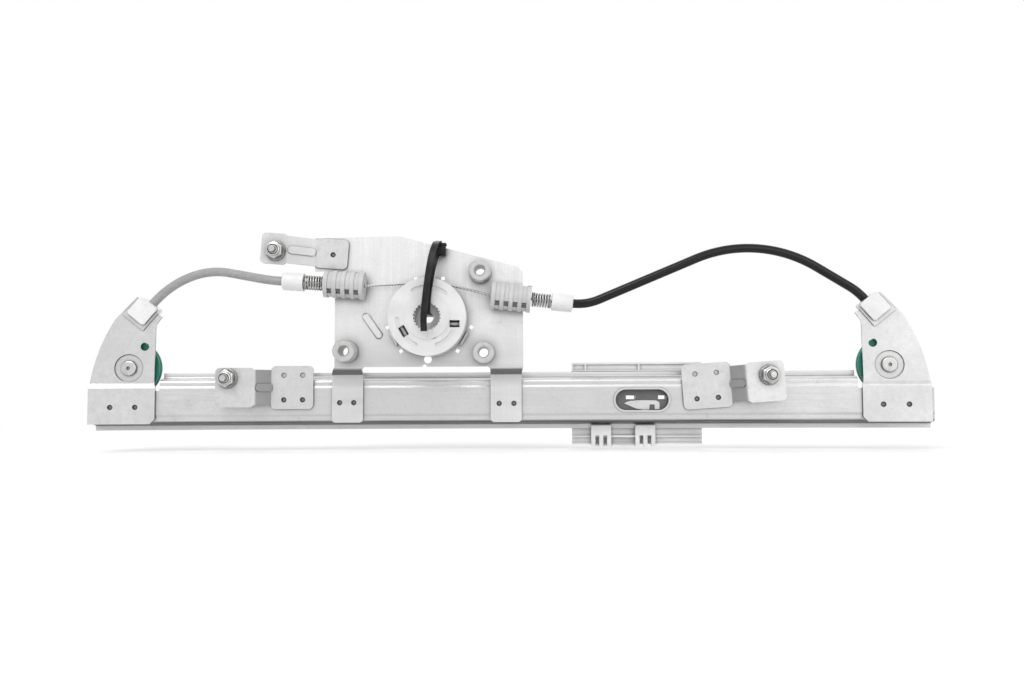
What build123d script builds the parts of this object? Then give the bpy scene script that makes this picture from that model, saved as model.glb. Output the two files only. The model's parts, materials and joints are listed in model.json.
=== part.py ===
from build123d import *
from math import acos, atan2, cos, degrees, hypot, pi, radians, sin, sqrt, tan
from typing import NamedTuple
import os

os.makedirs("parts", exist_ok=True)

# driving dimensions, in millimetres: X along the rail, Y away from the motor side, Z towards the conduits
sheet = 1.5
fold_radius = 1.0
running_gap = 0.05
press_gap = 0.02
moving_gap = 0.3
face_gap = 0.15
seat_gap = 0.04

bow_radius = 2500.0
web_depth = 9.5
rail_drop = 53.4
rail_length = 544.0
rail_middle = 51.7
web_half = 13.4
web_field_half = 8.4
web_field_step = 0.5
web_field_run = 1.6
flange_depth = 9.5
wall_spread = 1.6
flange_half = 18.8
end_notch_height = 7.2
slot_station = 139.2
slot_length = 34.6
slot_width = 13.6
slot_rim = 1.3
slot_rim_height = 0.8

left_pulley_inset = 23.3
right_pulley_inset = 26.7
pulley_height = 22.0
pulley_radius = 18.8
pulley_groove_radius = 17.5
pulley_width = 6.4
pulley_bore = 3.4
pulley_groove_flare = 1.7
pulley_web_outer = 14.5
pulley_web_recess = 1.0
pulley_hub = 6.5
rivet_shank_radius = 3.35
rivet_tail_radius = 4.6
rivet_tail_height = 1.2
rivet_dimple_radius = 1.2
rope_radius = 0.75
rope_depth = 6.2
rivet_head_radius = 4.9
rivet_head_height = 2.0

bracket_foot_low = -14.5
bracket_inner = 17.4
bracket_outer = 25.0
bracket_waist = 16.3
bracket_corner = 3.1
bracket_edge_middle = (19.6, 32.0)
bracket_shoulder = (9.2, 54.2)
bracket_tip = (-4.6, 69.0)
bracket_horn = (-20.6, 55.6)
bracket_crook = (-16.8, 50.4)
bracket_hole = (-10.0, 36.1)
bracket_clinches = ((10.9, -3.5), (-4.9, -3.5))
bracket_foot_height = -0.9
bracket_step_low = 8.8
bracket_step_high = 11.6
bracket_dish_radius = 9.2
bracket_dish_depth = 0.8
bracket_dish_taper = 30.0
bracket_hole_radius = 2.7
holder_turn = 39.5
holder_start = 27.3
holder_length = 14.0
holder_half = 6.8
holder_neck_half = 5.6
holder_front_height = 1.8
holder_back = 10.4
saddle_margin = 3.0
saddle_rise = 0.8
clinch_radius = 1.75
clinch_depth = 0.9
clinch_button = 2.6
clinch_button_height = 0.7
clinch_row_half = 8.1
left_bracket_columns = (-5.4, 6.8)
right_bracket_columns = (-7.1, 6.7)

plate_left = -61.8
plate_right = 61.3
plate_bottom = -31.3
plate_peak = (-19.4, 54.5)
plate_shoulder = (58.3, 33.9)
plate_corner = 3.4
foot_low = -67.6
left_foot = (-64.7, -44.2)
right_foot = (39.8, 60.2)
foot_clinches = ((-59.6, -1.1), (-50.3, -1.1), (45.4, -2.0), (55.1, -2.0))
foot_lift = 7.85
foot_step = 4.5
foot_corner = 2.5
plate_hole = 2.6
plate_hole_place = (-0.9, -26.6)
plate_notch_place = -3.1
plate_rib_place = (-37.0, -4.6)
plate_rib_turn = -55.0
plate_rib_size = (20.0, 5.5)
plate_rib_height = 1.0
plate_rib_taper = 40.0
drum_tab_angles = (90, 210, 330)
drum_tab_radius = 26.6
drum_tab_thickness = 1.2
drum_tab_length = 9.0
drum_tab_height = 4.0
tab_left = -75.0
tab_low = 31.7
tab_top = 53.4
bush_radius = 6.95
bush_bore = 3.2
bush_height = 16.5
bush_spigot = 4.8
bush_flare = 0.7
bush_chamfer = 0.6
bush_positions = ((-53.2, -21.5), (33.6, 29.8), (35.8, -22.7))
plate_neck_radius = 7.5
plate_neck_height = 5.0
plate_neck_wall = 1.2

drum_front = 17.0
drum_back = 1.2
drum_radius = 24.9
drum_rope_radius = 23.4
drum_front_flange = 3.0
drum_back_flange = 2.4
drum_step_radius = 14.4
drum_socket_radius = 8.8
drum_socket_depth = 9.0
drum_bore = 3.4
drum_turn_pitch = 1.9
drum_turns = 3
drum_step_height = 0.4
drum_arcs = ((112, 64), (22, 48), (242, 66))
drum_arc_radius = 19.0
drum_arc_width = 2.5
drum_arc_depth = 0.7
drum_recess_radius = 2.9
drum_recess_place = (3.8, -11.4)
spline_teeth = 24
spline_depth = 0.7
spline_width = 1.0
left_pocket_size = (7.0, 4.2)
left_pocket_turn = -60
right_pocket_size = (6.4, 4.6)
nipple_pockets = ((-14.8, -9.2), (17.6, -4.6))
pocket_floor = 5.5
drum_nipple_radius = 1.9
left_lane = -5.0
right_lane = -12.6

sleeve_axis_depth = -8.95
sleeve_radius = 8.8
sleeve_length = 25.5
sleeve_bore = 1.3
sleeve_rib_height = 0.6
sleeve_rib_width = 2.6
sleeve_ribs = 5
pocket_length = 3.2
pocket_height = 3.0
pocket_depth = 6.0
pocket_drop = 5.0
sleeve_end_offset = 41.0
left_sleeve_height = 20.6
left_sleeve_slope = 3.7
right_sleeve_height = 14.2
right_sleeve_slope = 6.0
spring_radius = 4.4
spring_wire = 0.65
spring_length = 13.5
spring_turns = 6
ferrule_radius = 5.8
ferrule_length = 13.5
conduit_radius = 2.9
conduit_bore = 1.15
conduit_in_holder = 6.0
conduit_in_ferrule = 9.0
left_first_corner = 74.9
left_second_corner = 60.2
left_first_radius = 53.0
left_second_radius = 45.0
right_first_corner = 61.4
right_first_radius = 34.0
right_middle_corner = (214.7, -4.0, 55.2)
right_middle_radius = 89.0
right_last_corner = 48.0
right_last_radius = 34.0
rope_bend = 25.0
rope_lead = 8.0
rope_wrap = 200.0

stud_radius = 3.0
stud_proud = 0.5
stud_point_radius = 2.0
stud_point_length = 3.0
stud_chamfer = 0.4
stud_head_radius = 5.0
stud_head_height = 1.5
nut_flange_radius = 6.6
nut_flange_height = 1.4
nut_across_flats = 10.0
nut_hex_height = 4.6
nut_collar_radius = 4.1
nut_collar_height = 1.4
nut_flange_taper = 20.0
rail_bracket_rise = 9.0
left_bracket_pad = (27.6, 28.4)
left_bracket_fold = 8.8
left_bracket_shelf = (25.4, 25.6)
right_bracket_pad = (31.6, 29.4)
right_bracket_fold = 8.3
right_bracket_shelf = (24.6, 25.8)
upper_bracket_pad = (21.6, 19.4)
upper_bracket_fold = 16.8
upper_bracket_shelf = (17.2, 20.2)
upper_bracket_joint = (-1.0, 0.6)
left_bracket_station = -90.8
left_bracket_height = 9.0
left_bracket_stud = (-130.5, -38.5)
right_bracket_station = 181.2
right_bracket_height = 9.0
right_bracket_turn = 3.8
right_bracket_stud = (218.7, -37.8)
upper_bracket_rise = 6.0
upper_bracket_place = (-63.9, 42.9)
upper_bracket_turn = -4.3
upper_bracket_stud = (-99.1, 44.1)
pad_corner = 3.0
fold_shoulder = 1.2
fold_rib_width = 5.0
fold_rib_height = 0.9

carriage_station = 136.3
carriage_half = 42.8
carriage_top = 24.9
carriage_low = -29.6
carriage_plate = 3.2
tongue_half = 33.0
tongue_height = 11.0
tongue_front = 3.4
clip_low = -30.8
clip_bars = 3
clip_top = -16.9
clip_bar = 2.7
clip_thickness = 2.4
clip_pitch = 5.2
insert_station = 143.9
insert_height = -4.4
insert_radius = 4.6
insert_thread = 3.0
nipple_radius = 2.4
nipple_length = 6.0
nipple_inset = 0.4
band_rib = 1.2
clip_groups = (106.1, 135.1)
clip_bridge_low = -23.6
channel_half = 1.2
carriage_windows = ((128.5, 6.6), (149.5, 5.6))
carriage_window_heights = (0.4, 2.8)
lens_half = 9.5
lens_rise = 2.8
insert_depth = 8.0
insert_boss = 1.4
insert_proud = 0.6

tie_width = 4.2
tie_thickness = 1.2
tie_lean = 12.0
tie_loop = (
    (-3.4, 44.6),
    (-3.4, 50.8),
    (2.5, 50.8),
    (2.5, 1.3),
    (-18.6, 1.3),
    (-18.6, 28.0),
    (-5.2, 40.6),
    (-3.6, 44.6),
)
tie_head_middle = (-4.1, 44.4)
tie_head_depth = 5.6
tie_head_height = 7.0
tie_head_width = 6.4
tail_shift = -1.6
tail_lean = 10.1
tie_tail = ((-5.0, 45.0), (-13.0, 49.4), (-25.0, 33.0), (-21.6, -7.0))
tie_tail_bend = 4.0


def rail_point(station, depth, height):
    """Point at a length along the bow, a depth behind the web's front and a height over its middle."""
    angle = station / bow_radius
    reach = bow_radius + depth
    return Vector(reach * sin(angle), web_depth - bow_radius + reach * cos(angle), height - rail_drop)


def face_plane(station, depth=0.0, height=0.0, turn=0.0):
    """Plane tangent to the web, x along the rail, y up, z towards the viewer."""
    angle = station / bow_radius
    along = Vector(cos(angle), -sin(angle), 0)
    out = Vector(-sin(angle), -cos(angle), 0)
    turned = along * cos(radians(turn)) + Vector(0, 0, 1) * sin(radians(turn))
    return Plane(origin=rail_point(station, depth, height), x_dir=turned, z_dir=out)


def section_plane(station):
    """Plane across the rail, x away from the viewer, y up, z along the rail."""
    angle = station / bow_radius
    return Plane(
        origin=rail_point(station, 0, 0),
        x_dir=(sin(angle), cos(angle), 0),
        z_dir=(cos(angle), -sin(angle), 0),
    )


def front_plane(depth, x=0.0, z=0.0, turn=0.0):
    """Plane parallel to the motor plate at a depth, x along, y up, z towards the viewer."""
    return Plane(origin=(x, depth, z), x_dir=(cos(radians(turn)), 0, sin(radians(turn))), z_dir=(0, -1, 0))


bow_axis = Axis((0, web_depth - bow_radius, 0), (0, 0, -1))
end_sides = ((-1, "left"), (1, "right"))


def pulley_place(side):
    """Length along the rail of a pulley's axis, a set distance in from the rail's end."""
    inset = left_pulley_inset if side < 0 else right_pulley_inset
    return rail_middle + side * (rail_length / 2 - inset)


def outward(points, side):
    """Points given as distance outward from the pulley's axis and height, for the left or right end."""
    return [(side * reach, height) for reach, height in points]


def bow_degrees(length):
    """Angle about the bow axis of a length along the rail."""
    return degrees(length / bow_radius)


def rounded_route(points, radii):
    """Edges of straight runs joined by tangent arcs, for corner points with a radius at each inner one."""
    edges = []
    start = points[0]
    for before, corner, after, radius in zip(points, points[1:], points[2:], radii):
        if not radius:
            edges.append(Edge.make_line(start, corner))
            start = corner
            continue
        back = (before - corner).normalized()
        ahead = (after - corner).normalized()
        half = acos(max(-1.0, min(1.0, back.dot(ahead)))) / 2
        reach = radius / tan(half)
        first = corner + back * reach
        last = corner + ahead * reach
        middle_direction = (back + ahead).normalized()
        middle = corner + middle_direction * (radius / sin(half) - radius)
        edges.append(Edge.make_line(start, first))
        edges.append(Edge.make_three_point_arc(first, middle, last))
        start = last
    edges.append(Edge.make_line(start, points[-1]))
    return edges


def sheet_edges(corners, thickness=sheet, inside=fold_radius):
    """Closed outline of folded sheet whose middle line runs through the corners."""
    middle = [Vector(*corner) for corner in corners]
    directions = [(after - before).normalized() for before, after in zip(middle, middle[1:])]
    normals = [Vector(-direction.Y, direction.X) for direction in directions]
    outline = []
    radii = []
    for side in (1, -1):
        points = [middle[0] + normals[0] * (side * thickness / 2)]
        corner_radii = []
        for corner, before, after in zip(middle[1:], normals, normals[1:]):
            points.append(corner + (before + after) * (side * thickness / 2 / (1 + before.dot(after))))
            turns_left = before.X * after.Y - before.Y * after.X > 0
            corner_radii.append(inside if turns_left == (side > 0) else inside + thickness)
        points.append(middle[-1] + normals[-1] * (side * thickness / 2))
        outline.append(points)
        radii.append(corner_radii)
    there = outline[0]
    back = outline[1][::-1]
    edges = rounded_route(there, radii[0])
    edges.append(Edge.make_line(there[-1], back[0]))
    edges += rounded_route(back, radii[1][::-1])
    edges.append(Edge.make_line(back[-1], there[0]))
    return edges


def path_length(edges):
    """Length of a route."""
    return sum(edge.length for edge in edges)


# rail
with BuildPart() as guide_rail:
    start_station = rail_middle - rail_length / 2
    with BuildSketch(section_plane(start_station)):
        with BuildLine():
            middle_depth = sheet / 2
            back_depth = flange_depth + sheet / 2
            half_profile = [
                (back_depth, flange_half),
                (back_depth, web_half + wall_spread),
                (middle_depth + web_field_step, web_half),
                (middle_depth + web_field_step, web_field_half + web_field_run),
                (middle_depth, web_field_half),
            ]
            mirrored_profile = [(depth, -height) for depth, height in reversed(half_profile)]
            add(sheet_edges(half_profile + mirrored_profile))
        make_face()
    revolve(axis=bow_axis, revolution_arc=bow_degrees(rail_length))
    for side, _ in end_sides:
        rail_end = rail_middle + side * rail_length / 2
        notch_length = abs(rail_end - pulley_place(side)) + pulley_radius + moving_gap
        with BuildSketch(face_plane(rail_end - side * notch_length / 2, -sheet)):
            with Locations((0, end_notch_height + flange_half / 2)):
                Rectangle(notch_length + sheet, flange_half)
        extrude(amount=-(flange_depth + sheet * 4), mode=Mode.SUBTRACT)
    with BuildSketch(face_plane(slot_station, -slot_rim_height)):
        SlotOverall(slot_length + 2 * slot_rim, slot_width + 2 * slot_rim)
    extrude(amount=-(slot_rim_height + sheet / 2))
    with BuildSketch(face_plane(slot_station, -sheet)):
        SlotOverall(slot_length, slot_width)
    extrude(amount=-sheet * 3, mode=Mode.SUBTRACT)

    # buttons of the press joints on the web's back
    rail_clinches = list(foot_clinches)
    for side, _ in end_sides:
        for reach, height in outward(bracket_clinches, side):
            rail_clinches.append((pulley_place(side) + reach, height))
    for station, height, columns in (
        (left_bracket_station, left_bracket_height, left_bracket_columns),
        (right_bracket_station, right_bracket_height, right_bracket_columns),
    ):
        rail_clinches += [(station + column, height - clinch_row_half) for column in columns]
    for station, height in rail_clinches:
        with BuildSketch(face_plane(station, sheet / 2, height)):
            Circle(clinch_button)
        extrude(amount=-(sheet / 2 + clinch_button_height))
guide_rail.part.label = "guide_rail"
export_step(guide_rail.part, "parts/guide_rail.step")

# pulley ends, the same for both sides and mirrored in position
holder_end = holder_start + holder_length
clear_notch_half = holder_neck_half + face_gap
for side, side_name in end_sides:
    pulley_station = pulley_place(side)
    here = face_plane(pulley_station)
    with BuildSketch(here, mode=Mode.PRIVATE) as bracket_outline:
        with BuildLine():
            outer_low, outer_step, outer_middle, shoulder, tip, horn, crook = outward(
                (
                    (bracket_outer, bracket_foot_low),
                    (bracket_outer, bracket_step_low),
                    bracket_edge_middle,
                    bracket_shoulder,
                    bracket_tip,
                    bracket_horn,
                    bracket_crook,
                ),
                side,
            )
            inner_edge = outward(
                (
                    (-bracket_waist, bracket_step_high),
                    (-bracket_inner, bracket_step_low),
                    (-bracket_inner, bracket_foot_low + bracket_corner),
                    (bracket_corner - bracket_inner, bracket_foot_low),
                ),
                side,
            )
            Line(outer_low, outer_step)
            ThreePointArc(outer_step, outer_middle, shoulder)
            Polyline(shoulder, tip, horn, crook, *inner_edge, outer_low)
        make_face()

    with BuildPart() as pulley_bracket:
        profile_plane = Plane(origin=here.origin, x_dir=-here.z_dir, z_dir=here.x_dir)
        with BuildSketch(profile_plane):
            with BuildLine():
                add(
                    sheet_edges(
                        [
                            (bracket_foot_height, bracket_foot_low),
                            (bracket_foot_height, bracket_step_low),
                            (sheet / 2, bracket_step_high),
                            (sheet / 2, rail_drop + pulley_height),
                        ]
                    )
                )
            make_face()
        extrude(amount=bracket_outer + bracket_inner, both=True)
        extrude(bracket_outline.sketch, amount=flange_depth, both=True, mode=Mode.INTERSECT)
        # the dish round the pulley's rivet
        with BuildSketch(face_plane(pulley_station, sheet / 2, pulley_height)):
            Circle(bracket_dish_radius + sheet / 2)
        extrude(amount=-(sheet / 2 + bracket_dish_depth))
        with BuildSketch(face_plane(pulley_station, 0, pulley_height)):
            Circle(bracket_dish_radius)
        extrude(amount=-bracket_dish_depth, taper=bracket_dish_taper, mode=Mode.SUBTRACT)
        with BuildSketch(here):
            with Locations((0, pulley_height)):
                Circle(rivet_shank_radius + press_gap)
            with Locations(*outward([bracket_hole], side)):
                Circle(bracket_hole_radius)
        extrude(amount=flange_depth, both=True, mode=Mode.SUBTRACT)
        # the saddle for the conduit holder
        holder_plane = face_plane(pulley_station, 0, pulley_height, side * holder_turn)
        with BuildSketch(holder_plane):
            with Locations((side * pulley_groove_radius, (holder_start + holder_end) / 2 + face_gap)):
                Rectangle(2 * (holder_neck_half + saddle_margin), holder_length + 2 * saddle_margin)
        saddle = extrude(amount=saddle_rise, mode=Mode.PRIVATE)
        add(saddle & extrude(bracket_outline.sketch, amount=flange_depth, mode=Mode.PRIVATE))
        with BuildSketch(holder_plane):
            with Locations((side * pulley_groove_radius, holder_start + holder_length - face_gap)):
                Rectangle(2 * clear_notch_half, 2 * holder_length)
        extrude(amount=flange_depth, both=True, mode=Mode.SUBTRACT)
        with BuildSketch(here.offset(sheet / 2 - bracket_foot_height)):
            with Locations(*outward(bracket_clinches, side)):
                Circle(clinch_radius)
        extrude(amount=-clinch_depth, mode=Mode.SUBTRACT)
    pulley_bracket.part.label = side_name + "_pulley_bracket"
    export_step(pulley_bracket.part, "parts/" + side_name + "_pulley_bracket.step")

    with BuildPart() as pulley:
        pulley_back = rope_depth + pulley_width / 2
        with BuildSketch(face_plane(pulley_station, pulley_back, pulley_height)):
            Circle(pulley_radius)
        extrude(amount=pulley_width)
        with BuildSketch(section_plane(pulley_station)):
            groove_floor = pulley_height + pulley_groove_radius - rope_radius - running_gap
            groove_mouth = pulley_height + pulley_radius
            Polygon(
                (rope_depth - rope_radius - running_gap, groove_floor),
                (rope_depth + rope_radius + running_gap, groove_floor),
                (rope_depth + pulley_groove_flare, groove_mouth),
                (rope_depth - pulley_groove_flare, groove_mouth),
                align=None,
            )
        pulley_axis = Axis(rail_point(pulley_station, 0, pulley_height), here.z_dir)
        revolve(axis=pulley_axis, mode=Mode.SUBTRACT)
        with BuildSketch(face_plane(pulley_station, pulley_back, pulley_height)):
            Circle(pulley_bore)
        extrude(amount=pulley_width, mode=Mode.SUBTRACT)
        # shallow rings that leave a hub and a rim on each side
        for start_depth, inward in ((pulley_back, 1), (pulley_back - pulley_width, -1)):
            with BuildSketch(face_plane(pulley_station, start_depth, pulley_height)):
                Circle(pulley_web_outer)
                Circle(pulley_hub, mode=Mode.SUBTRACT)
            extrude(amount=inward * pulley_web_recess, mode=Mode.SUBTRACT)
    pulley.part.label = side_name + "_pulley"
    export_step(pulley.part, "parts/" + side_name + "_pulley.step")

    with BuildPart() as pulley_rivet:
        rivet_end = pulley_back + moving_gap
        with BuildSketch(face_plane(pulley_station, rivet_end, pulley_height)):
            Circle(rivet_shank_radius)
        extrude(amount=rivet_end - bracket_dish_depth + rivet_head_height / 2)
        with BuildSketch(face_plane(pulley_station, bracket_dish_depth, pulley_height)):
            Circle(rivet_head_radius)
        extrude(amount=rivet_head_height)
        rivet_rims = pulley_rivet.edges().filter_by(GeomType.CIRCLE)
        fillet(rivet_rims.sort_by(Axis(here.origin, here.z_dir))[-1], rivet_head_height / 2)
        with BuildSketch(face_plane(pulley_station, rivet_end + rivet_tail_height, pulley_height)):
            Circle(rivet_tail_radius)
        extrude(amount=rivet_tail_height)
        with BuildSketch(face_plane(pulley_station, bracket_dish_depth - rivet_head_height, pulley_height)):
            Circle(rivet_dimple_radius)
        extrude(amount=-rivet_head_height / 2, mode=Mode.SUBTRACT)
    pulley_rivet.part.label = side_name + "_pulley_rivet"
    export_step(pulley_rivet.part, "parts/" + side_name + "_pulley_rivet.step")

    with BuildPart() as conduit_holder:
        with BuildSketch(holder_plane.offset(saddle_rise + face_gap)):
            with Locations((side * pulley_groove_radius, (holder_start + holder_end) / 2)):
                RectangleRounded(2 * holder_half, holder_length, sheet)
        extrude(amount=holder_front_height)
        with BuildSketch(holder_plane.offset(saddle_rise + face_gap)):
            with Locations((side * pulley_groove_radius, (holder_start + holder_end) / 2)):
                Rectangle(2 * holder_neck_half, holder_length)
        extrude(amount=-(saddle_rise + sheet + 2 * face_gap))
        with BuildSketch(holder_plane.offset(-(sheet + face_gap))):
            with Locations((side * pulley_groove_radius, (holder_start + holder_end) / 2)):
                RectangleRounded(2 * holder_half, holder_length, sheet)
        extrude(amount=-(holder_back - sheet - face_gap))
        entry_plane = Plane(
            origin=holder_plane.from_local_coords((side * pulley_groove_radius, holder_end, -rope_depth)),
            x_dir=holder_plane.x_dir,
            z_dir=-holder_plane.y_dir,
        )
        with BuildSketch(entry_plane):
            Circle(conduit_radius + press_gap)
        extrude(amount=conduit_in_holder, mode=Mode.SUBTRACT)
        with BuildSketch(entry_plane):
            Circle(conduit_bore)
        extrude(amount=holder_length, mode=Mode.SUBTRACT)
    conduit_holder.part.label = side_name + "_conduit_holder"
    export_step(conduit_holder.part, "parts/" + side_name + "_conduit_holder.step")

# routes of the two cables: each from the drum through its conduit and round its pulley
left_holder_plane = face_plane(pulley_place(-1), rope_depth, pulley_height, -holder_turn)
right_holder_plane = face_plane(pulley_place(1), rope_depth, pulley_height, holder_turn)
left_pulley_point = left_holder_plane.from_local_coords((-pulley_groove_radius, 0, 0))
right_pulley_point = right_holder_plane.from_local_coords((pulley_groove_radius, 0, 0))
left_climb = left_holder_plane.y_dir
right_climb = right_holder_plane.y_dir
left_axis = Vector(-cos(radians(left_sleeve_slope)), 0, sin(radians(left_sleeve_slope)))
right_axis = Vector(cos(radians(right_sleeve_slope)), 0, -sin(radians(right_sleeve_slope)))
left_sleeve_end = Vector(-sleeve_end_offset, sleeve_axis_depth, left_sleeve_height)
right_sleeve_end = Vector(sleeve_end_offset, sleeve_axis_depth, right_sleeve_height)
conduit_run = holder_end - conduit_in_holder
rope_height = pulley_height - pulley_groove_radius
stack_length = sleeve_length + spring_length + ferrule_length


def drum_tangent(sleeve_end, side, lane):
    """Tangent point on the drum, a lead point before it and the angle of the tangent point."""
    span = hypot(sleeve_end.X, sleeve_end.Z)
    angle = atan2(sleeve_end.Z, sleeve_end.X) + side * acos(drum_rope_radius / span)
    touch = Vector(drum_rope_radius * cos(angle), lane, drum_rope_radius * sin(angle))
    away = Vector(side * -sin(angle), 0, side * cos(angle)) * -1
    return touch, touch + away * rope_lead, angle


def drum_point(angle, lane):
    """Point on the rope's circle round the drum."""
    return Vector(drum_rope_radius * cos(angle), lane, drum_rope_radius * sin(angle))


left_touch, left_lead, left_angle = drum_tangent(left_sleeve_end, -1, left_lane)
right_touch, right_lead, right_angle = drum_tangent(right_sleeve_end, 1, right_lane)
left_corners = [
    left_pulley_point + left_climb * left_first_corner,
    left_sleeve_end + left_axis * left_second_corner,
]
right_corners = [
    right_pulley_point + right_climb * right_last_corner,
    Vector(*right_middle_corner),
    right_sleeve_end + right_axis * right_first_corner,
]
left_radii = [left_first_radius, left_second_radius]
right_radii = [right_last_radius, right_middle_radius, right_first_radius]


def cable_edges(pulley_point, corners, radii, sleeve_end, lead, touch, angle, lane, side):
    """Edges of a whole cable, from inside the carriage to its end on the drum."""
    station = pulley_place(side)
    pulley_face = face_plane(station, rope_depth, pulley_height)
    inner_end = carriage_station + side * running_gap
    middle_station = (station + inner_end) / 2
    wrap_middle = radians(-90 + side * (90 + holder_turn) / 2)
    edges = [
        Edge.make_three_point_arc(
            rail_point(inner_end, rope_depth, rope_height),
            rail_point(middle_station, rope_depth, rope_height),
            rail_point(station, rope_depth, rope_height),
        ),
        Edge.make_three_point_arc(
            rail_point(station, rope_depth, rope_height),
            pulley_face.from_local_coords(
                (pulley_groove_radius * cos(wrap_middle), pulley_groove_radius * sin(wrap_middle), 0)
            ),
            pulley_point,
        ),
    ]
    route_points = [pulley_point, *corners, sleeve_end, lead, touch]
    edges += rounded_route(route_points, [*radii, rope_bend, rope_bend])
    wrap = side * radians(rope_wrap)
    edges.append(
        Edge.make_three_point_arc(touch, drum_point(angle + wrap / 2, lane), drum_point(angle + wrap, lane))
    )
    return edges


left_cable_edges = cable_edges(
    left_pulley_point,
    left_corners,
    left_radii,
    left_sleeve_end,
    left_lead,
    left_touch,
    left_angle,
    left_lane,
    -1,
)
right_cable_edges = cable_edges(
    right_pulley_point,
    right_corners,
    right_radii,
    right_sleeve_end,
    right_lead,
    right_touch,
    right_angle,
    right_lane,
    1,
)
for side_name, cable_route in (("left", left_cable_edges), ("right", right_cable_edges)):
    with BuildPart() as cable:
        cable_wire = Wire(cable_route)
        with BuildSketch(Plane(origin=cable_wire @ 0, z_dir=cable_wire % 0)):
            Circle(rope_radius)
        sweep(path=cable_wire)
    print(side_name, "cable", cable.part.volume / (pi * rope_radius**2), path_length(cable_route))
    cable.part.label = side_name + "_cable"
    export_step(cable.part, "parts/" + side_name + "_cable.step")

ends = (
    ("left", left_pulley_point, left_climb, left_corners, left_radii, left_sleeve_end, left_axis),
    ("right", right_pulley_point, right_climb, right_corners, right_radii, right_sleeve_end, right_axis),
)
for side_name, pulley_point, climb, corners, radii, sleeve_end, stack_axis in ends:
    conduit_end = sleeve_end + stack_axis * (stack_length - conduit_in_ferrule)
    conduit_edges = rounded_route([pulley_point + climb * conduit_run, *corners, conduit_end], radii)
    with BuildPart() as conduit:
        conduit_wire = Wire(conduit_edges)
        with BuildSketch(Plane(origin=conduit_wire @ 0, z_dir=conduit_wire % 0)):
            Circle(conduit_radius)
            Circle(conduit_bore, mode=Mode.SUBTRACT)
        sweep(path=conduit_wire)
    conduit_area = pi * (conduit_radius**2 - conduit_bore**2)
    print(side_name, "conduit", conduit.part.volume / conduit_area, path_length(conduit_edges), radii)
    conduit.part.label = side_name + "_conduit"
    export_step(conduit.part, "parts/" + side_name + "_conduit.step")

    sleeve_plane = Plane(origin=sleeve_end, x_dir=(0, -1, 0), z_dir=stack_axis)
    with BuildPart() as tension_sleeve:
        with BuildSketch(sleeve_plane):
            Circle(sleeve_radius - sleeve_rib_height)
        extrude(amount=sleeve_length)
        rib_pitch = (sleeve_length - sleeve_rib_width) / (sleeve_ribs - 1)
        for rib in range(sleeve_ribs):
            with BuildSketch(sleeve_plane.offset(rib * rib_pitch)):
                Circle(sleeve_radius)
            extrude(amount=sleeve_rib_width)
        with BuildSketch(sleeve_plane):
            Circle(sleeve_bore)
        extrude(amount=sleeve_length, mode=Mode.SUBTRACT)
        # pockets along the lower side
        down_sign = 1 if stack_axis.X > 0 else -1
        for pocket in range(sleeve_ribs - 1):
            pocket_middle = rib_pitch * (pocket + 1 / 2) + sleeve_rib_width / 2
            with BuildSketch(sleeve_plane.offset(pocket_middle - pocket_length / 2)):
                with Locations((sleeve_radius - pocket_depth / 2, down_sign * pocket_drop)):
                    Rectangle(pocket_depth, pocket_height)
            extrude(amount=pocket_length, mode=Mode.SUBTRACT)
        # step in the outer end's top
        with BuildSketch(sleeve_plane.offset(sleeve_length - pocket_length)):
            with Locations((sleeve_radius / 2, -down_sign * sleeve_radius)):
                Rectangle(sleeve_radius, pocket_height)
        extrude(amount=pocket_length, mode=Mode.SUBTRACT)
    tension_sleeve.part.label = side_name + "_tension_sleeve"
    export_step(tension_sleeve.part, "parts/" + side_name + "_tension_sleeve.step")

    spring_plane = sleeve_plane.offset(sleeve_length)
    with BuildPart() as tension_spring:
        coil_height = spring_length - 2 * spring_wire
        coil = Helix(coil_height / spring_turns, coil_height, spring_radius, mode=Mode.PRIVATE)
        coil_wire = spring_plane.offset(spring_wire).from_local_coords(Wire(coil.edges()))
        coil_start = Plane(origin=coil_wire @ 0, z_dir=coil_wire % 0)
        with BuildSketch(coil_start):
            Rectangle(spring_wire * sqrt(2), spring_wire * sqrt(2))
        sweep(path=coil_wire, is_frenet=True)
    tension_spring.part.label = side_name + "_tension_spring"
    export_step(tension_spring.part, "parts/" + side_name + "_tension_spring.step")

    ferrule_plane = spring_plane.offset(spring_length)
    with BuildPart() as ferrule:
        with BuildSketch(ferrule_plane):
            Circle(ferrule_radius)
        extrude(amount=ferrule_length)
        ferrule_rims = ferrule.edges().filter_by(GeomType.CIRCLE)
        chamfer(ferrule_rims.sort_by(Axis(sleeve_end, stack_axis))[-1], spring_wire)
        with BuildSketch(ferrule_plane.offset(ferrule_length)):
            Circle(conduit_radius + press_gap)
        extrude(amount=-conduit_in_ferrule, mode=Mode.SUBTRACT)
        with BuildSketch(ferrule_plane):
            Circle(conduit_bore)
        extrude(amount=ferrule_length, mode=Mode.SUBTRACT)
    ferrule.part.label = side_name + "_conduit_ferrule"
    export_step(ferrule.part, "parts/" + side_name + "_conduit_ferrule.step")

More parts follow.
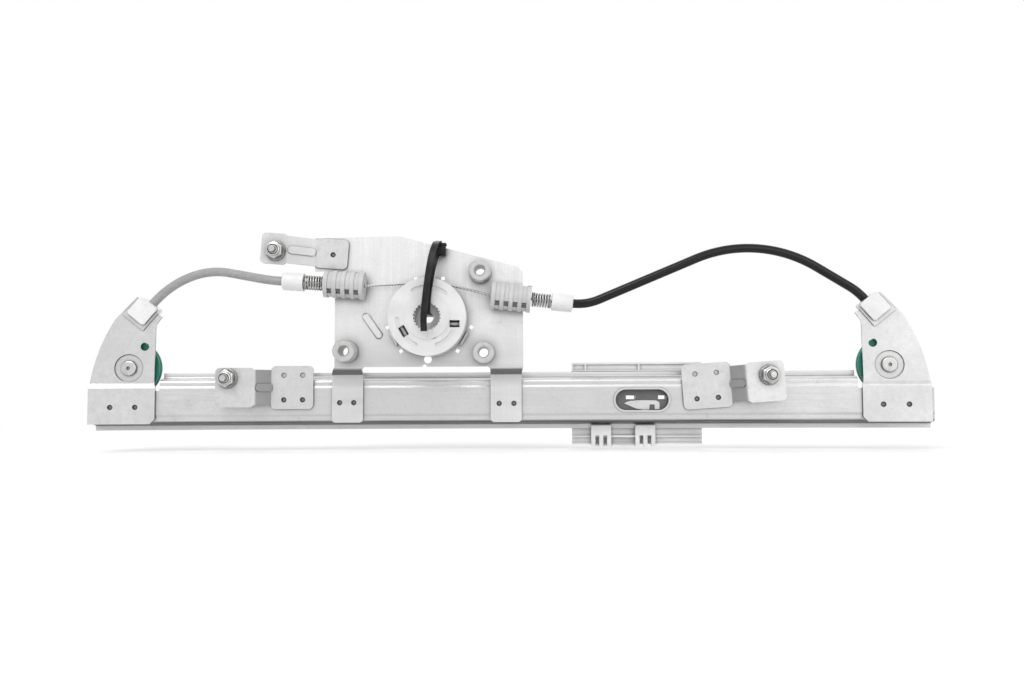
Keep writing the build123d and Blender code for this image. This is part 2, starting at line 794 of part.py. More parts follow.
# motor plate
with BuildPart() as motor_plate:
    with BuildSketch(Plane(origin=(0, 0, 0), x_dir=(0, 1, 0), z_dir=(1, 0, 0))):
        with BuildLine():
            add(
                sheet_edges(
                    [
                        (sheet / 2, drum_radius * 3),
                        (sheet / 2, plate_bottom - fold_radius),
                        (foot_lift, plate_bottom - foot_step),
                        (foot_lift, foot_low),
                    ]
                )
            )
        make_face()
    extrude(amount=-tab_left * 2, both=True)
    with BuildSketch(front_plane(0)):
        Polygon(
            plate_peak,
            plate_shoulder,
            (plate_right, plate_shoulder[1] - plate_corner),
            (plate_right, plate_bottom),
            (right_foot[1], plate_bottom - foot_step),
            (right_foot[1], foot_low),
            (right_foot[0], foot_low),
            (right_foot[0], plate_bottom - sheet),
            (right_foot[0] - sheet, plate_bottom),
            (left_foot[1] + sheet, plate_bottom),
            (left_foot[1], plate_bottom - sheet),
            (left_foot[1], foot_low),
            (left_foot[0], foot_low),
            (left_foot[0], plate_bottom - foot_step),
            (plate_left, plate_bottom),
            (plate_left, tab_low),
            (tab_left, tab_low),
            (tab_left, tab_top),
            align=None,
        )
    extrude(amount=foot_lift * 2, both=True, mode=Mode.INTERSECT)
    fillet(motor_plate.edges().filter_by(Axis.Y).group_by(Axis.Z)[0], foot_corner)
    # neck that carries the drum
    with BuildSketch(front_plane(sheet)):
        Circle(plate_neck_radius)
    extrude(amount=plate_neck_height + sheet)
    with BuildSketch(front_plane(sheet)):
        Circle(plate_neck_radius - plate_neck_wall)
    extrude(amount=plate_neck_height + sheet, mode=Mode.SUBTRACT)
    # holes for the bushes, the drain hole, the edge notch and the slot over the drum
    with BuildSketch(front_plane(0)):
        with Locations(*bush_positions):
            Circle(bush_spigot + press_gap)
        with Locations(plate_hole_place):
            Circle(plate_hole)
        with Locations((plate_notch_place, plate_bottom)):
            Circle(sheet)
        for tab_angle in drum_tab_angles:
            for tangent_side in (-1, 1):
                with PolarLocations(drum_tab_radius, 1, tab_angle):
                    with Locations((0, tangent_side * drum_tab_length)):
                        Rectangle(drum_tab_thickness * 2, drum_tab_thickness * 2)
    extrude(amount=foot_lift, both=True, mode=Mode.SUBTRACT)
    # tabs round the drum
    with BuildSketch(front_plane(sheet / 2)):
        for tab_angle in drum_tab_angles:
            with PolarLocations(drum_tab_radius, 1, tab_angle):
                Rectangle(drum_tab_thickness, drum_tab_length)
    extrude(amount=drum_tab_height)
    # raised rib left of the drum
    with BuildSketch(front_plane(0, *plate_rib_place, plate_rib_turn)):
        SlotOverall(*plate_rib_size)
    extrude(amount=plate_rib_height, taper=plate_rib_taper)
    for x, height in foot_clinches:
        with BuildSketch(front_plane(foot_lift - sheet / 2, x, height - rail_drop)):
            Circle(clinch_radius)
        extrude(amount=-clinch_depth, mode=Mode.SUBTRACT)
motor_plate.part.label = "motor_plate"
export_step(motor_plate.part, "parts/motor_plate.step")

with BuildPart() as motor_bushes:
    for x, z in bush_positions:
        with BuildSketch(front_plane(0, x, z)):
            Circle(bush_radius)
        extrude(amount=bush_height)
        with BuildSketch(front_plane(0, x, z)):
            Circle(bush_spigot)
        extrude(amount=-sheet)
        with BuildSketch(front_plane(sheet, x, z)):
            Circle(bush_spigot + bush_flare)
        extrude(amount=-bush_flare)
        with BuildSketch(front_plane(sheet + bush_flare, x, z)):
            Circle(bush_bore)
        extrude(amount=bush_height + sheet + bush_flare, mode=Mode.SUBTRACT)
        with BuildSketch(front_plane(-bush_height, x, z)):
            Circle(bush_bore + bush_chamfer)
        extrude(amount=-bush_chamfer, taper=45, mode=Mode.SUBTRACT)
    bush_rims = motor_bushes.edges().filter_by(GeomType.CIRCLE)
    outer_rims = bush_rims.filter_by(lambda rim: rim.radius > bush_radius - press_gap)
    chamfer(outer_rims.group_by(Axis.Y)[0], bush_chamfer)
motor_bushes.part.label = "motor_bushes"
export_step(motor_bushes.part, "parts/motor_bushes.step")

# drum
with BuildPart() as cable_drum:
    core_radius = drum_rope_radius - rope_radius - running_gap
    with BuildSketch(front_plane(-drum_back)):
        Circle(core_radius)
    extrude(amount=drum_front - drum_back)
    with BuildSketch(front_plane(-drum_back)):
        Circle(drum_radius)
    extrude(amount=drum_back_flange)
    with BuildSketch(front_plane(drum_front_flange - drum_front)):
        Circle(drum_radius)
    extrude(amount=drum_front_flange)
    with BuildSketch(front_plane(-drum_front)):
        Circle(drum_step_radius)
    extrude(amount=drum_step_height)
    with BuildSketch(front_plane(-drum_front - drum_step_height)):
        Circle(drum_socket_radius)
        with PolarLocations(drum_socket_radius, spline_teeth):
            Rectangle(spline_depth * 2, spline_width, mode=Mode.SUBTRACT)
    extrude(amount=-(drum_socket_depth + drum_step_height), mode=Mode.SUBTRACT)
    with BuildSketch(front_plane(0)):
        Circle(drum_bore)
    extrude(amount=drum_front, mode=Mode.SUBTRACT)
    with BuildSketch(front_plane(0)):
        Circle(plate_neck_radius + running_gap)
    extrude(amount=plate_neck_height + moving_gap, mode=Mode.SUBTRACT)
    with BuildSketch(front_plane(-drum_front)):
        for start, size in drum_arcs:
            SlotArc(CenterArc((0, 0), drum_arc_radius, start, size, mode=Mode.PRIVATE), drum_arc_width)
        with Locations(drum_recess_place):
            Circle(drum_recess_radius)
    extrude(amount=-drum_arc_depth, mode=Mode.SUBTRACT)
    # nipple pockets
    with BuildSketch(front_plane(-drum_front)):
        with Locations(Location(nipple_pockets[0], left_pocket_turn)):
            Rectangle(*left_pocket_size)
        with Locations(nipple_pockets[1]):
            Rectangle(*right_pocket_size)
    extrude(amount=-pocket_floor, mode=Mode.SUBTRACT)
cable_drum.part.label = "cable_drum"
export_step(cable_drum.part, "parts/cable_drum.step")

with BuildPart() as drum_nipples:
    pocket_turns = (left_pocket_turn, 0)
    pocket_lengths = (left_pocket_size[0], right_pocket_size[0])
    for (x, z), turn, length in zip(nipple_pockets, pocket_turns, pocket_lengths):
        nipple_plane = front_plane(pocket_floor - drum_front - drum_nipple_radius - press_gap, x, z, turn)
        across = Plane(
            origin=nipple_plane.origin - nipple_plane.x_dir * ((length - face_gap) / 2),
            x_dir=nipple_plane.y_dir,
            z_dir=nipple_plane.x_dir,
        )
        with BuildSketch(across):
            Circle(drum_nipple_radius)
        extrude(amount=length - face_gap)
drum_nipples.part.label = "drum_nipples"
export_step(drum_nipples.part, "parts/drum_nipples.step")

with BuildPart() as drum_turns_of_cable:
    for turn in range(drum_turns):
        turn_depth = (left_lane + right_lane) / 2 + (turn - (drum_turns - 1) / 2) * drum_turn_pitch
        with BuildSketch(Plane(origin=(drum_rope_radius, turn_depth, 0), x_dir=(1, 0, 0), z_dir=(0, 0, 1))):
            RegularPolygon(rope_radius, 6)
        revolve(axis=Axis.Y)
drum_turns_of_cable.part.label = "drum_cable_turns"
export_step(drum_turns_of_cable.part, "parts/drum_cable_turns.step")


def stepped_bracket_edges(lower, fold, upper, rise, lean):
    """Outline of a stepped bracket seen along its width, the lower pad centred on the origin."""
    fold_start = lower / 2
    fold_end = fold_start + fold
    tilt = radians(lean)
    raised = rise + sheet / 2
    tip = (fold_end + upper * cos(tilt), raised - upper * sin(tilt))
    return sheet_edges([(-fold_start, sheet / 2), (fold_start, sheet / 2), (fold_end, raised), tip])


class StepBracket(NamedTuple):
    """Stepped bracket: the pad that is pressed on, the fold, the raised pad and the stud's place."""

    side_name: str
    pad: Plane
    lower_size: tuple
    fold: float
    upper_size: tuple
    rise: float
    lean: float
    stud: tuple
    dimples: list


def turned_back(plane):
    """The same plane with its x direction reversed, for a bracket that reaches to the left."""
    return Plane(origin=plane.origin, x_dir=-plane.x_dir, z_dir=plane.z_dir)


def dimple_grid(columns, reach_side):
    """Places of four press joints in two columns, measured from the pad's middle."""
    return [(reach_side * column, row) for column in columns for row in (-clinch_row_half, clinch_row_half)]


left_pad = turned_back(face_plane(left_bracket_station, -face_gap, left_bracket_height))
right_pad = face_plane(right_bracket_station, -face_gap, right_bracket_height, right_bracket_turn)
upper_pad = turned_back(front_plane(0, *upper_bracket_place, upper_bracket_turn))
mount_brackets = (
    StepBracket(
        side_name="left",
        pad=left_pad,
        lower_size=left_bracket_pad,
        fold=left_bracket_fold,
        upper_size=left_bracket_shelf,
        rise=rail_bracket_rise,
        lean=degrees(-left_bracket_station / bow_radius),
        stud=left_bracket_stud,
        dimples=dimple_grid(left_bracket_columns, -1),
    ),
    StepBracket(
        side_name="right",
        pad=right_pad,
        lower_size=right_bracket_pad,
        fold=right_bracket_fold,
        upper_size=right_bracket_shelf,
        rise=rail_bracket_rise,
        lean=degrees(right_bracket_station / bow_radius),
        stud=right_bracket_stud,
        dimples=dimple_grid(right_bracket_columns, 1),
    ),
    StepBracket(
        side_name="upper",
        pad=upper_pad,
        lower_size=upper_bracket_pad,
        fold=upper_bracket_fold,
        upper_size=upper_bracket_shelf,
        rise=upper_bracket_rise,
        lean=0.0,
        stud=upper_bracket_stud,
        dimples=[upper_bracket_joint],
    ),
)
stud_planes = []
for bracket in mount_brackets:
    pad, lower_size, fold, upper_size, rise = bracket[1:6]
    stud_x, stud_z = bracket.stud
    profile_plane = Plane(origin=pad.origin, x_dir=pad.x_dir, z_dir=-pad.y_dir)
    with BuildPart() as mount_bracket:
        with BuildSketch(profile_plane):
            with BuildLine():
                add(stepped_bracket_edges(lower_size[0], fold, upper_size[0], rise, bracket.lean))
            make_face()
        extrude(amount=lower_size[1], both=True)
        with BuildSketch(pad):
            RectangleRounded(*lower_size, pad_corner)
            with Locations((lower_size[0] / 2 + fold + upper_size[0] / 2, 0)):
                RectangleRounded(*upper_size, pad_corner)
            with Locations((lower_size[0] / 2 + fold / 2, 0)):
                Rectangle(fold + 4 * pad_corner, upper_size[1] - 2 * fold_shoulder)
        extrude(amount=rise * 3, both=True, mode=Mode.INTERSECT)
        # rib pressed along the fold
        fold_angle = degrees(atan2(rise, fold))
        rib_plane = Plane(
            origin=pad.from_local_coords((lower_size[0] / 2 + fold / 2, 0, rise / 2 + sheet / 2)),
            x_dir=pad.x_dir * cos(radians(fold_angle)) + pad.z_dir * sin(radians(fold_angle)),
            z_dir=pad.z_dir * cos(radians(fold_angle)) - pad.x_dir * sin(radians(fold_angle)),
        )
        with BuildSketch(rib_plane):
            SlotOverall(hypot(rise, fold), fold_rib_width)
        extrude(amount=sheet / 2 + fold_rib_height)
        stud_line = Line((stud_x, -rail_length, stud_z), (stud_x, rail_length, stud_z), mode=Mode.PRIVATE)
        stud_front = (mount_bracket.part & stud_line).vertices().sort_by(Axis.Y)[0].Y
        with BuildSketch(front_plane(stud_front, stud_x, stud_z)):
            Circle(stud_radius + press_gap)
        extrude(amount=rise, both=True, mode=Mode.SUBTRACT)
        for along, across in bracket.dimples:
            dimple_plane = Plane(
                origin=pad.from_local_coords((along, across, sheet)), x_dir=pad.x_dir, z_dir=pad.z_dir
            )
            with BuildSketch(dimple_plane):
                Circle(clinch_radius)
            extrude(amount=-clinch_depth, mode=Mode.SUBTRACT)
    mount_bracket.part.label = bracket.side_name + "_mount_bracket"
    export_step(mount_bracket.part, "parts/" + bracket.side_name + "_mount_bracket.step")
    stud_planes.append(front_plane(stud_front, stud_x, stud_z))

nut_height = nut_flange_height + nut_hex_height + nut_collar_height
stud_thread = seat_gap + nut_height + stud_proud
with BuildPart() as mount_studs:
    for stud_plane in stud_planes:
        with BuildSketch(stud_plane.offset(-sheet - seat_gap)):
            Circle(stud_radius)
        extrude(amount=stud_thread + sheet + seat_gap)
        with BuildSketch(stud_plane.offset(-sheet - seat_gap)):
            Circle(stud_head_radius)
        extrude(amount=-stud_head_height)
        with BuildSketch(stud_plane.offset(stud_thread)):
            Circle(stud_point_radius)
        extrude(amount=stud_point_length)
        point_end = stud_plane.offset(stud_thread + stud_point_length).origin
        chamfer(mount_studs.edges().filter_by(GeomType.CIRCLE).sort_by_distance(point_end)[0], stud_chamfer)
mount_studs.part.label = "mount_studs"
export_step(mount_studs.part, "parts/mount_studs.step")

with BuildPart() as flange_nuts:
    for stud_plane in [bracket_plane.offset(seat_gap) for bracket_plane in stud_planes]:
        with BuildSketch(stud_plane):
            Circle(nut_flange_radius)
        extrude(amount=nut_flange_height, taper=nut_flange_taper)
        with BuildSketch(stud_plane.offset(nut_flange_height)):
            RegularPolygon(nut_across_flats / 2, 6, major_radius=False)
        extrude(amount=nut_hex_height)
        with BuildSketch(stud_plane.offset(nut_flange_height + nut_hex_height)):
            Circle(nut_collar_radius)
        extrude(amount=nut_collar_height)
        with BuildSketch(stud_plane):
            Circle(stud_radius + running_gap)
        extrude(amount=nut_height, mode=Mode.SUBTRACT)
flange_nuts.part.label = "flange_nuts"
export_step(flange_nuts.part, "parts/flange_nuts.step")

# carriage behind the rail, turned about the bow's axis so that it keeps its gaps as it travels
carriage_front = flange_depth + sheet + moving_gap
carriage_back = carriage_front + carriage_plate


def bowed_box(start, length, depths, heights, mode=Mode.ADD):
    """Block bent along the bow, between two depths and two heights, from a length along the rail."""
    with BuildSketch(section_plane(start)) as block_section:
        with Locations(((depths[0] + depths[1]) / 2, (heights[0] + heights[1]) / 2)):
            Rectangle(abs(depths[1] - depths[0]), abs(heights[1] - heights[0]))
    revolve(block_section.sketch, axis=bow_axis, revolution_arc=bow_degrees(length), mode=mode)


with BuildPart() as carriage:
    carriage_start = carriage_station - carriage_half
    carriage_length = 2 * carriage_half
    bowed_box(carriage_start, carriage_length, (carriage_front, carriage_back), (carriage_low, carriage_top))
    tongue_depths = (tongue_front, carriage_front + sheet)
    tongue_start = carriage_station - tongue_half
    bowed_box(tongue_start, 2 * tongue_half, tongue_depths, (-tongue_height, tongue_height))
    # ribs on the front of the two bands that show past the rail
    rib_depths = (carriage_front - band_rib, carriage_front)
    upper_band = (flange_half + moving_gap, carriage_top)
    for rib_range in ((carriage_top - band_rib, carriage_top), (upper_band[0], flange_half + band_rib)):
        bowed_box(carriage_start, carriage_length, rib_depths, rib_range)
    for rib_start in (carriage_start, tongue_start - band_rib, carriage_station + band_rib):
        bowed_box(rib_start, band_rib, rib_depths, upper_band)
    lower_band_top = -(flange_half + moving_gap)
    for band_middle in (carriage_low + band_rib / 2, (carriage_low + lower_band_top) / 2):
        band_range = (band_middle - band_rib / 2, band_middle + band_rib / 2)
        bowed_box(carriage_start, carriage_length, rib_depths, band_range)
    # clips round the lower flange
    clip_back = flange_depth - moving_gap
    clip_front = clip_back - clip_thickness
    group_length = (clip_bars - 1) * clip_pitch + clip_bar
    bridge_depths = (clip_front + band_rib, carriage_front)
    for group_start in clip_groups:
        for bar in range(clip_bars):
            bar_start = group_start + bar * clip_pitch
            bowed_box(bar_start, clip_bar, (clip_front, carriage_front), (clip_low, lower_band_top))
            bowed_box(bar_start, clip_bar, (clip_front, clip_back), (lower_band_top, clip_top))
        bowed_box(group_start, group_length, (clip_front, clip_back), (clip_bridge_low, clip_top))
        bowed_box(group_start, group_length, bridge_depths, (clip_bridge_low, lower_band_top))
    for band_range in ((clip_low, clip_low + band_rib), (clip_bridge_low - band_rib, clip_bridge_low)):
        bowed_box(clip_groups[0], clip_groups[1] - clip_groups[0] + clip_bar, bridge_depths, band_range)
    # channel for the rope run and pockets for the two nipples
    channel = (rope_height - channel_half, rope_height + channel_half)
    channel_depths = (rope_depth - channel_half, rope_depth + channel_half)
    bowed_box(carriage_start, carriage_length, channel_depths, channel, Mode.SUBTRACT)
    pocket_run = nipple_length + nipple_inset
    for pocket_start in (tongue_start, carriage_station + tongue_half - pocket_run):
        with BuildSketch(section_plane(pocket_start)):
            with Locations((rope_depth, rope_height)):
                Circle(nipple_radius + running_gap)
        revolve(axis=bow_axis, revolution_arc=bow_degrees(pocket_run), mode=Mode.SUBTRACT)
    # windows and the shaped recess seen through the rail's slot
    for window_start, window_length in carriage_windows:
        window_depths = (0, carriage_back + sheet)
        bowed_box(window_start, window_length, window_depths, carriage_window_heights, Mode.SUBTRACT)
    with BuildSketch(face_plane(slot_station, tongue_front, insert_height + sheet)):
        Ellipse(lens_half, lens_rise)
    extrude(amount=-sheet, mode=Mode.SUBTRACT)
    with BuildSketch(face_plane(insert_station, tongue_front, insert_height)):
        Rectangle(lens_rise, lens_rise)
    extrude(amount=-(insert_depth - tongue_front), mode=Mode.SUBTRACT)
    # boss and bore for the glass insert
    with BuildSketch(face_plane(insert_station, carriage_back - sheet, insert_height)):
        Circle(insert_radius + carriage_plate)
    extrude(amount=-(sheet + insert_boss))
    with BuildSketch(face_plane(insert_station, insert_depth, insert_height)):
        Circle(insert_radius + press_gap)
    extrude(amount=-carriage_back, mode=Mode.SUBTRACT)
carriage.part.label = "carriage"
export_step(carriage.part, "parts/carriage.step")

with BuildPart() as glass_insert:
    insert_length = carriage_back + insert_boss + insert_proud - insert_depth
    with BuildSketch(face_plane(insert_station, insert_depth, insert_height)):
        Circle(insert_radius)
        Circle(insert_thread, mode=Mode.SUBTRACT)
    extrude(amount=-insert_length)
glass_insert.part.label = "glass_insert"
export_step(glass_insert.part, "parts/glass_insert.step")

with BuildPart() as carriage_nipples:
    for nipple_start in (
        tongue_start + nipple_inset - running_gap,
        carriage_station + tongue_half - nipple_inset - nipple_length + running_gap,
    ):
        with BuildSketch(section_plane(nipple_start)):
            with Locations((rope_depth, rope_height)):
                Circle(nipple_radius)
                Circle(rope_radius + moving_gap / 2, mode=Mode.SUBTRACT)
        revolve(axis=bow_axis, revolution_arc=bow_degrees(nipple_length))
carriage_nipples.part.label = "carriage_nipples"
export_step(carriage_nipples.part, "parts/carriage_nipples.step")

# cable tie: a loop through the drum's bore and over the plate's top edge, and its free tail
loop_across = (cos(radians(tie_lean)), 0, -sin(radians(tie_lean)))
loop_plane = Plane(origin=(0, 0, 0), x_dir=(0, 1, 0), z_dir=loop_across)
tail_across = (cos(radians(tail_lean)), 0, -sin(radians(tail_lean)))
tail_plane = Plane(origin=(tail_shift, 0, 0), x_dir=(0, 1, 0), z_dir=tail_across)
with BuildPart() as cable_tie:
    with BuildSketch(loop_plane):
        with BuildLine():
            add(sheet_edges(tie_loop, tie_thickness, fold_radius))
        make_face()
    extrude(amount=tie_width / 2, both=True)
    with BuildSketch(loop_plane):
        with Locations(tie_head_middle):
            Rectangle(tie_head_depth, tie_head_height)
    extrude(amount=tie_head_width / 2, both=True)
    with BuildSketch(tail_plane):
        with BuildLine():
            add(sheet_edges(tie_tail, tie_thickness, tie_tail_bend))
        make_face()
    extrude(amount=tie_width / 2, both=True)
cable_tie.part.label = "cable_tie"
export_step(cable_tie.part, "parts/cable_tie.step")
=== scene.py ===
"""Dressed model of a single-rail window regulator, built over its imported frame.

X runs along the guide rail, Y away from the motor side and Z from the rail towards the conduits, in metres.
"""

import json
import logging
import math
from dataclasses import dataclass
from enum import Enum

import bmesh
import bpy
from mathutils import Matrix, Vector


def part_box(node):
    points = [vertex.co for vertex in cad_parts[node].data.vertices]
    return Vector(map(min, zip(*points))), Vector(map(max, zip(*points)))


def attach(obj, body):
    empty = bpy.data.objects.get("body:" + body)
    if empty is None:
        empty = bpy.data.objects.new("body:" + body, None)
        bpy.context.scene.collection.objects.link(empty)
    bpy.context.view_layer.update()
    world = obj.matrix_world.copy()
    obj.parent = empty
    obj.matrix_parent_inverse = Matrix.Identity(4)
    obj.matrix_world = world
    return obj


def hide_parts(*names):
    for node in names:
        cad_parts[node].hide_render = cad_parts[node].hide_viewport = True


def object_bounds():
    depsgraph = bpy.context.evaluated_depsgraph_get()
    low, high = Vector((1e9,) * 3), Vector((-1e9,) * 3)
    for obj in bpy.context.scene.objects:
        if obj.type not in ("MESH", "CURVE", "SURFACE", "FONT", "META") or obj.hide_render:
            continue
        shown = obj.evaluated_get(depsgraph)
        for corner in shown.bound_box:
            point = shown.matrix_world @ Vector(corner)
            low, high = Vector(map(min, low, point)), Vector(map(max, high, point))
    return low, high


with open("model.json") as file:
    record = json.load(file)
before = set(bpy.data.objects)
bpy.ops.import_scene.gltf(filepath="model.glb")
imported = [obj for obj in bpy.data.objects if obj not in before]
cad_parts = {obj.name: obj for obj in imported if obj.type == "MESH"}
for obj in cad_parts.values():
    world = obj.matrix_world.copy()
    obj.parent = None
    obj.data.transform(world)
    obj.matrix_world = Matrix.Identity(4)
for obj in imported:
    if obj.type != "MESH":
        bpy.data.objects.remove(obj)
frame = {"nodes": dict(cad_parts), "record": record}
cad_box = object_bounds()
log = logging.getLogger("window_regulator")

MM = 0.001
CREASE_ANGLE = math.radians(32)
# pi and two pi, rounded: they set the scale of the wave textures
HALF_TURN = 3.14
FULL_TURN = 6.28

Colour = tuple[float, float, float, float]
Point = tuple[float, float, float]
Outline = list[tuple[float, float]]
Socket = bpy.types.NodeSocket


class Body(str, Enum):
    """The bodies that pieces ride on."""

    FRAME = "frame"
    CARRIAGE = "carriage"


class Grain(Enum):
    """Direction in which a sheet was rolled or brushed, as the scales of its streaks along X, Y and Z."""

    ALONG = (14.0, 900.0, 900.0)
    ACROSS = (900.0, 900.0, 14.0)
    EVEN = (260.0, 260.0, 260.0)


class Side(Enum):
    """The two ends of the rail."""

    LEFT = "left"
    RIGHT = "right"


class Graph:
    """Adds and links the nodes of one material."""

    def __init__(self, name: str) -> None:
        """Starts a material with its output and one principled shader.

        Args:
            name: Name of the material.
        """
        self.material = bpy.data.materials.new(name)
        self.material.use_nodes = True
        self.tree = self.material.node_tree
        self.shader = self.tree.nodes["Principled BSDF"]
        self.place = self.tree.nodes.new("ShaderNodeTexCoord").outputs["Object"]
        self.facing = self.tree.nodes.new("ShaderNodeNewGeometry").outputs["Normal"]

    def add(
        self, kind: str, inputs: dict[str | int, object] | None = None, **settings: object
    ) -> bpy.types.Node:
        """Adds a node.

        Args:
            kind: Type of the node.
            inputs: Values or sockets for its inputs, by name or number.
            settings: Properties of the node.

        Returns:
            The node.
        """
        node = self.tree.nodes.new(kind)
        for name, value in settings.items():
            setattr(node, name, value)
        for name, value in (inputs or {}).items():
            self.feed(node.inputs[name], value)
        return node

    def feed(self, target: Socket, value: object) -> None:
        """Links a socket to an input, or writes a plain value to it.

        Args:
            target: The input.
            value: A socket or a plain value.
        """
        if isinstance(value, bpy.types.NodeSocket):
            self.tree.links.new(value, target)
        else:
            target.default_value = value

    def scaled(self, scale: tuple[float, float, float]) -> Socket:
        """Place on the part, stretched by a scale for each axis.

        Args:
            scale: Scales along X, Y and Z.

        Returns:
            The stretched vector.
        """
        return self.add("ShaderNodeMapping", {"Vector": self.place, "Scale": scale}).outputs["Vector"]

    def noise(
        self, scale: float, detail: float = 3.0, rough: float = 0.5, vector: Socket | None = None
    ) -> Socket:
        """Noise from 0 to 1.

        Args:
            scale: Cells per metre.
            detail: Octaves.
            rough: Share of the finer octaves.
            vector: Where the noise is read, or None for the place on the part.

        Returns:
            The noise value.
        """
        inputs = {"Vector": vector or self.place, "Scale": scale, "Detail": detail, "Roughness": rough}
        return self.add("ShaderNodeTexNoise", inputs).outputs["Fac"]

    def spread(
        self, value: Socket, low: float, high: float, to_low: float = 0.0, to_high: float = 1.0
    ) -> Socket:
        """Maps a value from one range to another, held at both ends.

        Args:
            value: The value.
            low: Start of its range.
            high: End of its range.
            to_low: Result at the start.
            to_high: Result at the end.

        Returns:
            The mapped value.
        """
        inputs = {"Value": value, "From Min": low, "From Max": high, "To Min": to_low, "To Max": to_high}
        return self.add("ShaderNodeMapRange", inputs).outputs["Result"]

    def maths(self, operation: str, first: object, second: object = 0.0) -> Socket:
        """Result of one sum.

        Args:
            operation: Blender's name of the operation.
            first: First value.
            second: Second value.

        Returns:
            The result.
        """
        return self.add("ShaderNodeMath", {0: first, 1: second}, operation=operation).outputs["Value"]

    def blend(self, factor: object, first: object, second: object, kind: str = "MIX") -> Socket:
        """Mixes two colours.

        Args:
            factor: Share of the second colour.
            first: First colour.
            second: Second colour.
            kind: Blender's name of the mix.

        Returns:
            The mixed colour.
        """
        node = self.add("ShaderNodeMix", data_type="RGBA", blend_type=kind, clamp_factor=True)
        self.feed(node.inputs[0], factor)
        self.feed(node.inputs[6], first)
        self.feed(node.inputs[7], second)
        return node.outputs[2]

    def bump(
        self, height: Socket, distance: float, strength: float = 1.0, under: Socket | None = None
    ) -> Socket:
        """Normal of a relief.

        Args:
            height: The relief, from 0 to 1.
            distance: Its depth in metres.
            strength: Share of the relief that shows.
            under: Normal of the relief below it.

        Returns:
            The normal.
        """
        inputs: dict[str | int, object] = {"Height": height, "Distance": distance, "Strength": strength}
        if under is not None:
            inputs["Normal"] = under
        return self.add("ShaderNodeBump", inputs).outputs["Normal"]

    def crevice(self, reach: float, low: float = 0.35, high: float = 0.95) -> Socket:
        """Share of open air round a point, from 0 in a deep corner to 1 on an open face, with which the
        finishes paint shade into corners.

        Args:
            reach: How far corners are felt, in metres.
            low: Openness that already counts as a deep corner.
            high: Openness that counts as an open face.

        Returns:
            The share.
        """
        node = self.add("ShaderNodeAmbientOcclusion", {"Distance": reach}, samples=8)
        return self.spread(node.outputs["AO"], low, high)

    def set(self, **values: object) -> None:
        """Feeds inputs of the shader.

        Args:
            values: Values or sockets by the input's name, with underscores for spaces.
        """
        for name, value in values.items():
            self.feed(self.shader.inputs[name.replace("_", " ")], value)


